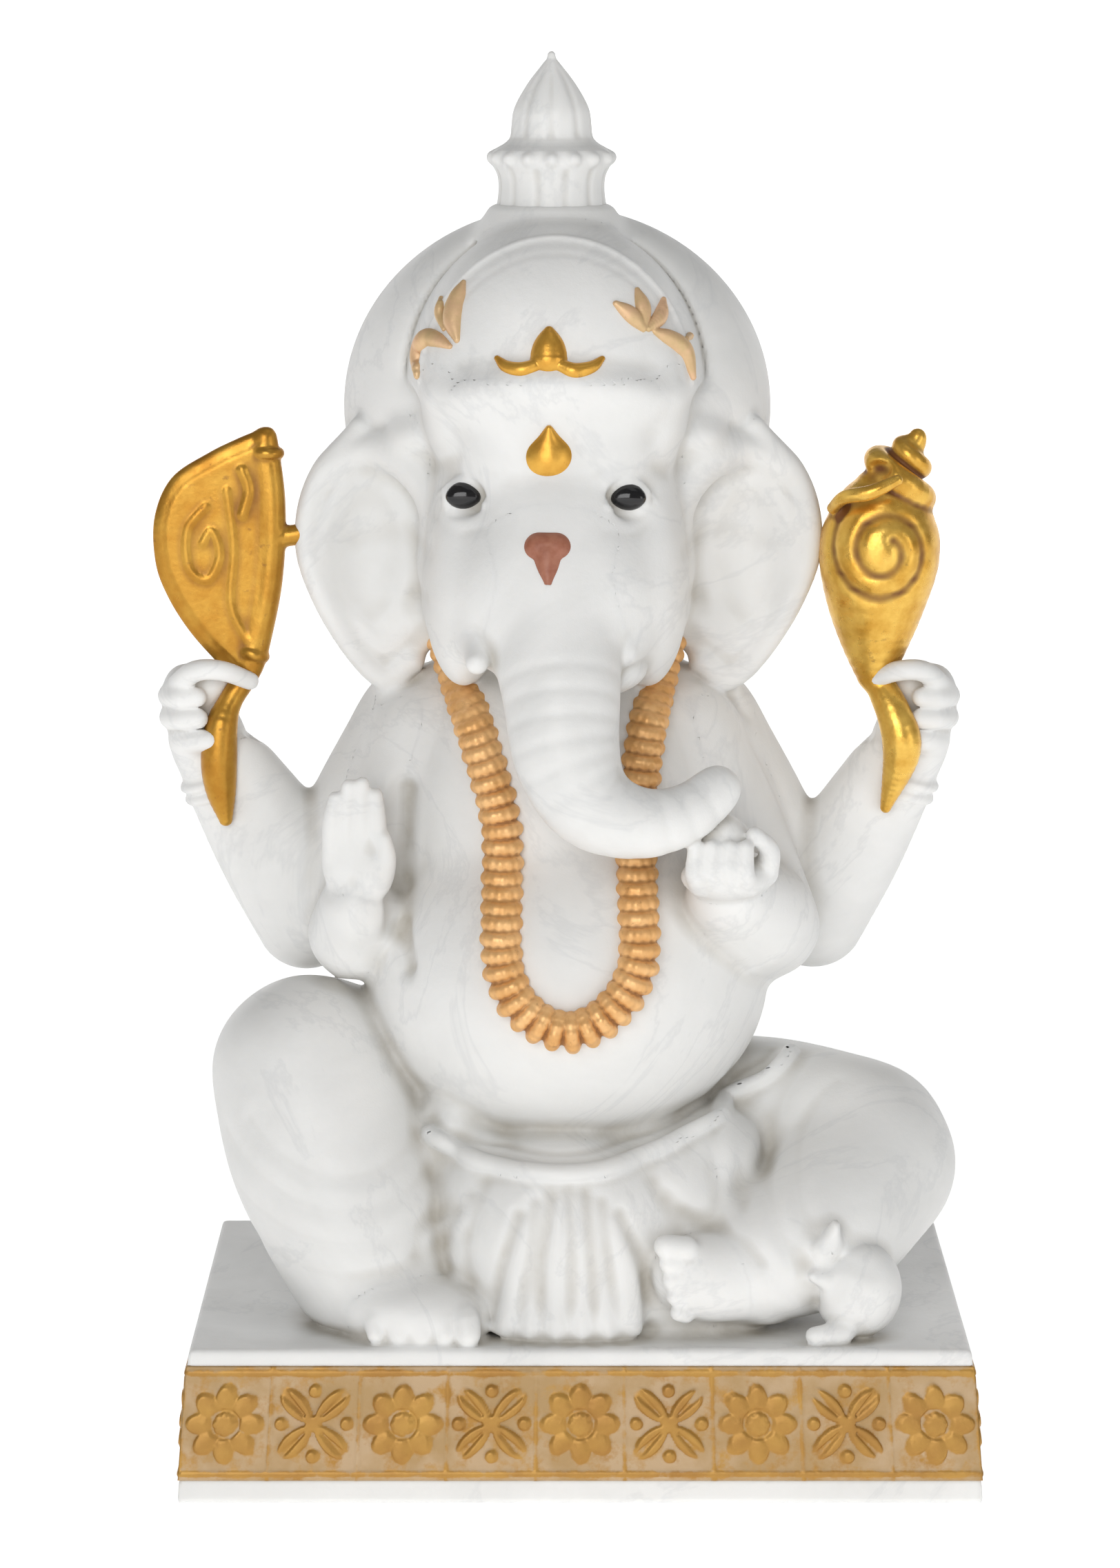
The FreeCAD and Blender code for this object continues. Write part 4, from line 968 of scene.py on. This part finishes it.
def model_finial():
    """A lotus bud on a collar, with folds between its petals."""
    name = "finial"
    low, high = box(name)
    x, y = (low[0] + high[0]) / 2, (low[1] + high[1]) / 2
    clay = local_clay(name, 3, TRIM_STEP)
    wide = (high[0] - low[0]) / 2
    profile = [(0.92, 0.0), (0.94, 0.05), (0.90, 0.12), (0.88, 0.20), (0.90, 0.27), (0.98, 0.33), (1.0, 0.37),
               (0.95, 0.42), (0.79, 0.455), (0.69, 0.49), (0.67, 0.55), (0.64, 0.64), (0.56, 0.71), (0.43, 0.79),
               (0.28, 0.87), (0.15, 0.94), (0.06, 0.985), (0.0, 1.0)]
    profile = [(wide * r, low[2] + (high[2] - low[2]) * h) for r, h in profile]
    clay.blend(clay.turned(x, y, smooth_line([(*p, 0) for p in profile], 0.7)[:, :2]), 0)
    heights, radii = [p[1] for p in profile], [p[0] for p in profile]
    for ring_, (count, bottom, top) in enumerate(((9, 0.52, 0.95), (12, 0.05, 0.30))):
        for k in range(count):
            a = 2 * math.pi * (k + 0.5 * ring_) / count
            zs = low[2] + (high[2] - low[2]) * np.linspace(bottom, top, 12)
            rs = np.interp(zs, heights, radii)
            clay.score([(x + r * math.sin(a), y - r * math.cos(a), z) for r, z in zip(rs, zs)], 0.3, 0.6)
    for k in range(16):
        a = 2 * math.pi * k / 16
        ball = (x + 0.97 * wide * math.sin(a), y - 0.97 * wide * math.cos(a), low[2] + 0.375 * (high[2] - low[2]))
        clay.blend(clay.lump(ball, (0.95, 0.95, 0.95)), 0.6)
    return clay


GARLAND_LINE = ((0.035, 0.985), (0.115, 0.855), (0.20, 0.72), (0.285, 0.53), (0.29, 0.36), (0.295, 0.20),
                (0.375, 0.095), (0.54, 0.045), (0.70, 0.095), (0.80, 0.20), (0.80, 0.36), (0.80, 0.53), (0.83, 0.72),
                (0.885, 0.855), (0.945, 0.985))


def model_garland(body):
    """A string of lobed beads over the chest. It follows the carved surface and passes behind the trunk."""
    name = "garland"
    clay = local_clay(name, 3, TRIM_STEP)
    bare = body_without_trunk(body)
    line = smooth_line([(*at(name, fx, 0, fz)[[0, 2]], 0) for fx, fz in GARLAND_LINE], 1.3)
    depth = np.array([bare(x, z) for x, z, _ in line])
    met = np.flatnonzero(~np.isnan(depth))
    depth = np.interp(np.arange(len(depth)), met, depth[met])
    depth = np.convolve(np.pad(depth, 3, mode="edge"), np.ones(7) / 7, mode="valid")
    tucked = 5 * np.clip(1 - (box(name)[1][2] - line[:, 1]) / 4.5, 0, 1)
    cord = np.column_stack((line[:, 0], depth - 0.7 + tucked, line[:, 1]))
    clay.blend(clay.stroke(np.column_stack((cord, np.full(len(cord), 1.5)))), 0)
    beads = smooth_line(cord, 2.3)
    for k, (before, here, after) in enumerate(zip(beads, beads[1:], beads[2:])):
        way = heading(after - before)
        slant = ("Y", math.degrees(math.atan2(way[0], way[2])))
        clay.blend(clay.lump(here, (2.95, 2.45, 1.55), slant), 0.5)
        across = heading(np.cross(way, (0, -1, 0)))
        for a in (-72, -43, -14, 14, 43, 72):
            t = math.radians(a + (9 if k % 2 else -7))
            clay.blend(clay.lump(here + 2.2 * (math.sin(t) * across + math.cos(t) * np.array((0, -1, 0))),
                                 (0.8, 0.8, 0.95), slant), 0.4)
    return clay


def body_without_trunk(body):
    """A measure of the chest's front that looks past the trunk, which the garland passes behind."""
    window, own = body.parts["torso"]

    def front(x, z):
        i = int(round(x / body.step)) - body.low[0] - window[0].start
        k = int(round(z / body.step)) - body.low[2] - window[2].start
        column = own[np.clip(i, 0, own.shape[0] - 1), :, np.clip(k, 0, own.shape[2] - 1)]
        j = int(np.argmax(column < 0))
        if j == 0:
            return math.nan
        return (j - column[j] / (column[j] - column[j - 1]) + body.low[1] + window[1].start) * body.step
    return front


def on_skin(body, node, lines):
    """A clay with strokes (fx, fz, radius, how proud) laid on the body's surface, by fractions of a node's box."""
    clay = local_clay(node, 3, GEM_STEP)
    for line in lines:
        line = smooth_line([(*at(node, fx, 0, fz)[[0, 2]], r, proud) for fx, fz, r, proud in line], 0.35)
        points = [(x, body.front(x, z) + r - proud, z, r) for x, z, r, proud in line]
        clay.blend(clay.stroke(points), 0.25)
    return clay


JEWELS = {
    "tilak": [((0.50, 0.44, 4.6, 1.2), (0.50, 0.60, 3.4, 1.2), (0.50, 0.82, 1.7, 1.0), (0.50, 1.03, 0.5, 0.6))],
    "bindi": [((0.26, 0.42, 2.5, 0.7), (0.74, 0.42, 2.5, 0.7)),
              ((0.50, 0.25, 2.6, 0.8), (0.50, -0.25, 1.7, 0.7), (0.50, -0.65, 0.8, 0.5), (0.50, -1.00, 0.3, 0.3))],
    "centre_jewel": [
        ((0.50, 0.30, 2.8, 1.5), (0.50, 0.55, 2.3, 1.4), (0.50, 0.97, 0.7, 0.8)),
        ((0.36, 0.14, 1.0, 0.8), (0.24, 0.06, 1.1, 0.9), (0.11, 0.12, 0.9, 0.7), (0.02, 0.32, 0.4, 0.5)),
        ((0.62, 0.14, 1.0, 0.8), (0.74, 0.04, 1.15, 1.0), (0.89, 0.12, 0.9, 0.8), (0.99, 0.32, 0.4, 0.5))],
    "right_crown_leaves": [
        ((0.74, 0.40, 0.5, 0.5), (0.70, 0.60, 1.7, 0.9), (0.76, 0.80, 1.5, 0.9), (0.84, 0.98, 0.4, 0.5)),
        ((0.52, 0.50, 0.4, 0.4), (0.44, 0.66, 0.8, 0.7), (0.46, 0.80, 0.4, 0.5)),
        ((0.06, 0.00, 0.5, 0.5), (0.08, 0.20, 1.3, 0.8), (0.20, 0.38, 1.4, 0.9), (0.42, 0.38, 1.1, 0.8),
         (0.62, 0.33, 0.4, 0.5))],
    "left_crown_leaves": [
        ((0.36, 0.58, 0.5, 0.5), (0.22, 0.72, 1.35, 0.9), (0.06, 0.86, 0.5, 0.5)),
        ((0.37, 0.60, 0.5, 0.5), (0.35, 0.80, 1.3, 0.9), (0.30, 1.0, 0.4, 0.5)),
        ((0.42, 0.58, 0.5, 0.5), (0.55, 0.70, 1.15, 0.9), (0.60, 0.88, 0.4, 0.5)),
        ((0.50, 0.54, 0.5, 0.5), (0.66, 0.44, 1.4, 0.9), (0.82, 0.30, 1.5, 0.9), (0.93, 0.02, 0.5, 0.5)),
        ((0.86, 0.44, 0.4, 0.4), (0.95, 0.46, 0.8, 0.7), (0.99, 0.34, 0.4, 0.4))],
}


def model_eye(body, side):
    """A black almond bead set in the socket."""
    name = side + "_eye"
    clay = local_clay(name, 2.5, GEM_STEP)
    almond = round_eye(side, ALMOND, 0.3)
    clay.blend(clay.stroke([(x, body.front(x, z) + r - 0.75 * min(r, 1), z, r) for x, z, r in almond]), 0)
    return clay


# ---------------------------------------------------------------- the carved band round the plinth
def flower(u, v, kind):
    """Relief from 0 to 1 of one panel, with u and v in mm from its middle."""
    r, a = np.hypot(u, v), np.arctan2(v, u)
    rise = lambda edge, width: np.clip((edge - r) / width, 0, 1)
    if kind:
        petal = np.abs(np.cos(4 * a))
        rosette = rise(4.4 + 1.5 * petal, 0.9) * (0.62 + 0.38 * petal) * (1 - 0.8 * np.exp(-((r - 1.9) / 0.35) ** 2))
        return np.maximum(rosette, rise(1.7, 0.6))
    leaf = np.abs(np.sin(2 * a))
    cross = rise(0.6 + 6.2 * leaf ** 1.6, 0.9) * (1 - 0.75 * np.exp(-((leaf - 1) / 0.02) ** 2) * (r > 1.6))
    beside, beyond = np.minimum(np.abs(u), np.abs(v)), np.maximum(np.abs(u), np.abs(v)) - 4.6
    bead = np.clip((1.1 - np.hypot(beside, beyond)) / 0.5, 0, 1)
    return np.maximum.reduce((cross, bead, rise(1.4, 0.5)))


def band_relief(along, up, length, height, panels):
    """Relief from 0 to 1 over the band, with up measured from its middle."""
    pitch = length / panels
    number = np.clip(np.floor(along / pitch), 0, panels - 1)
    u = along - (number + 0.5) * pitch
    relief = np.where(number % 2 == 0, flower(u, up, True), flower(u, up, False))
    divider = 0.3 * np.clip((0.42 - np.abs(np.abs(u) - pitch / 2)) / 0.3, 0, 1)
    border = 0.5 * np.clip((0.6 - np.abs(np.abs(up) - height / 2 + 0.9)) / 0.4, 0, 1)
    return np.maximum.reduce((relief, divider, border))


PLINTH_SINK = 0.78      # how far the band goes into the plinth's face
PLINTH_PROUD = 0.5


def band(node, side):
    """One closed strip of the carved band. side is 0 for the front, and -1 or 1 for the figure's right or left."""
    low, high = box(node)
    half_x, half_y, _ = box("plinth")[1]
    widest = np.abs(box("front_frieze"))[:, 0].max()
    lean = (half_x + PLINTH_PROUD - widest) / low[2]
    back = high[1]
    length = 2 * half_x if side == 0 else half_y + back
    panels = 9 if side == 0 else 5
    nu, nv = int(length / BAND_STEP), int((high[2] - low[2]) / BAND_STEP)
    share, z = np.meshgrid(np.linspace(0, 1, nu + 1), np.linspace(low[2], high[2], nv + 1), indexing="ij")
    relief = band_relief(share * length, z - (low[2] + high[2]) / 2, length, high[2] - low[2], panels)
    edge = np.minimum.reduce((share, 1 - share)) * length
    sheets = []
    for out in (0.12 + 0.5 * relief * np.clip(edge / 0.5, 0.4, 1), np.full(z.shape, -PLINTH_SINK)):
        x_face, y_face = half_x - lean * z + out, half_y - lean * z + out
        if side == 0:
            sheets.append((x_face * (2 * share - 1), -y_face, z))
        else:
            sheets.append((side * x_face, -y_face * (1 - share) + back * share, z))
    points = np.concatenate([np.stack([c.ravel() for c in sheet], axis=1) for sheet in sheets])
    number = np.arange(z.size).reshape(z.shape)
    def quads(n):
        return np.stack((n[:-1, :-1], n[1:, :-1], n[1:, 1:], n[:-1, 1:]), axis=-1).reshape(-1, 4)
    loop = np.concatenate((number[:, 0], number[-1, 1:], number[-2::-1, -1], number[0, -2:0:-1]))
    after = np.roll(loop, -1)
    skirt = np.stack((after, loop, loop + z.size, after + z.size), axis=-1)
    faces = np.concatenate((quads(number), quads(number)[:, ::-1] + z.size, skirt))
    if side == -1:
        faces = faces[:, ::-1]
    values = np.concatenate((relief.ravel(), np.zeros(z.size)))
    piece = mesh_of(node + "_carved", points, faces, attributes={"relief": values})
    piece.data.polygons.foreach_set("use_smooth", np.arange(len(faces)) < nu * nv)
    return piece


def painted_relief():
    """Gold paint over the carving, rubbed thin to a pinkish wash between the flowers and along the edges."""
    s = Shader("frieze_gilding")
    ground = s.mix(s.between(s.noise(150, 4), 0.38, 0.62), (0.42, 0.27, 0.115, 1), (0.50, 0.35, 0.20, 1))
    gold = s.mix(s.between(s.noise(130, 4, 0.6), 0.35, 0.65), (0.47, 0.26, 0.055, 1), (0.37, 0.185, 0.038, 1))
    coat = s.maths("ADD", s.attribute("relief"), s.between(s.noise(240, 4, 0.65), 0.3, 0.7, -0.30, 0.52))
    coat = s.between(coat, 0.12, 0.45)
    s.bump(s.noise(1100, 4), 0.00006)
    return s.set(base_color=s.mix(coat, ground, gold), metallic=s.between(coat, 0, 1, 0.1, 0.45),
                 roughness=s.between(coat, 0, 1, 0.60, 0.42))


GILDINGS = {            # bright and dull paint, painted shade for the recesses, roughness, how metallic
    "amber_gilding": ((0.56, 0.30, 0.045, 1), (0.44, 0.20, 0.022, 1), (0.20, 0.07, 0.01, 1), 0.34, 0.75),
    "honey_gilding": ((0.86, 0.54, 0.11, 1), (0.62, 0.32, 0.04, 1), (0.17, 0.06, 0.01, 1), 0.30, 0.7),
    "antique_gold": ((0.88, 0.53, 0.23, 1), (0.72, 0.38, 0.13, 1), (0.30, 0.13, 0.04, 1), 0.42, 0.4),
    "rose_gilding": ((0.78, 0.50, 0.30, 1), (0.62, 0.44, 0.22, 1), (0.40, 0.24, 0.13, 1), 0.45, 0.3),
    "yellow_gilding": ((0.76, 0.42, 0.07, 1), (0.62, 0.30, 0.04, 1), (0.20, 0.08, 0.02, 1), 0.35, 0.7),
}


def glossy(name, colour, second, roughness):
    """Enamel in two close tones."""
    s = Shader(name)
    tone = s.mix(s.between(s.noise(700, 3), 0.35, 0.65), colour, second)
    return s.set(base_color=tone, roughness=s.between(s.noise(900, 3), 0.3, 0.7, roughness, roughness + 0.15))


def steel():
    s = Shader("pin_steel")
    tone = s.mix(s.between(s.noise(500, 3), 0.35, 0.65), (0.42, 0.43, 0.44, 1), (0.55, 0.56, 0.57, 1))
    return s.set(base_color=tone, metallic=1.0, roughness=s.between(s.noise(1500, 3), 0.3, 0.7, 0.28, 0.42))


def dress_marble(body):
    """The figure, its plinth and the finial."""
    stone = marble()
    for name, piece in share_out(body, {name: name + "_carved" for name in MARBLE}, 1.1).items():
        place(piece, stone, "marble", name)
    place(cast(model_finial(), "finial_turned", 0.7), stone, "marble", "finial")


def dress_gilt(body):
    """The axe, the conch, the garland, and the marks and jewels on the forehead and crown."""
    paint = {name: gilding(name, *row) for name, row in GILDINGS.items()}
    red = glossy("bindi_red", (0.30, 0.10, 0.055, 1), (0.38, 0.15, 0.09, 1), 0.4)
    place(cast(model_axe(), "axe_gilded"), paint["amber_gilding"], "bright_gilding", "axe")
    place(cast(model_conch(), "conch_gilded"), paint["honey_gilding"], "bright_gilding", "conch")
    place(cast(model_garland(body), "garland_beads", 0.4), paint["antique_gold"], "gilt_relief", "garland")
    for name, lines in JEWELS.items():
        jewel = cast(on_skin(body, name, lines), name + "_painted", 0.3)
        if name == "bindi":
            place(jewel, red, "bindi_red", name)
        else:
            place(jewel, paint["rose_gilding" if "leaves" in name else "yellow_gilding"], "gilt_relief", name)


def dress_eyes(body):
    """Two black beads."""
    black = glossy("eye_black", (0.006, 0.006, 0.007, 1), (0.012, 0.011, 0.011, 1), 0.06)
    for side in ("right", "left"):
        place(cast(model_eye(body, side), side + "_eye_bead", 0.3), black, "eye_black", side + "_eye")


def dress_plinth():
    """The carved band. The hidden pins stay as the CAD made them, in steel."""
    gilt_band = painted_relief()
    for name, side in (("front_frieze", 0), ("right_frieze", -1), ("left_frieze", 1)):
        place(band(name, side), gilt_band, "gilt_relief", name)
    pin = steel()
    for name in ("finial_pin", "neck_pin", "plinth_pin_left", "plinth_pin_right"):
        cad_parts[name].data.materials.clear()
        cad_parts[name].data.materials.append(pin)


def main():
    body = model_figure()
    dress_marble(body)
    dress_gilt(body)
    dress_eyes(body)
    dress_plinth()
    camera()
    lights()
    floor()
    bpy.context.scene.view_settings.view_transform = "Standard"


main()
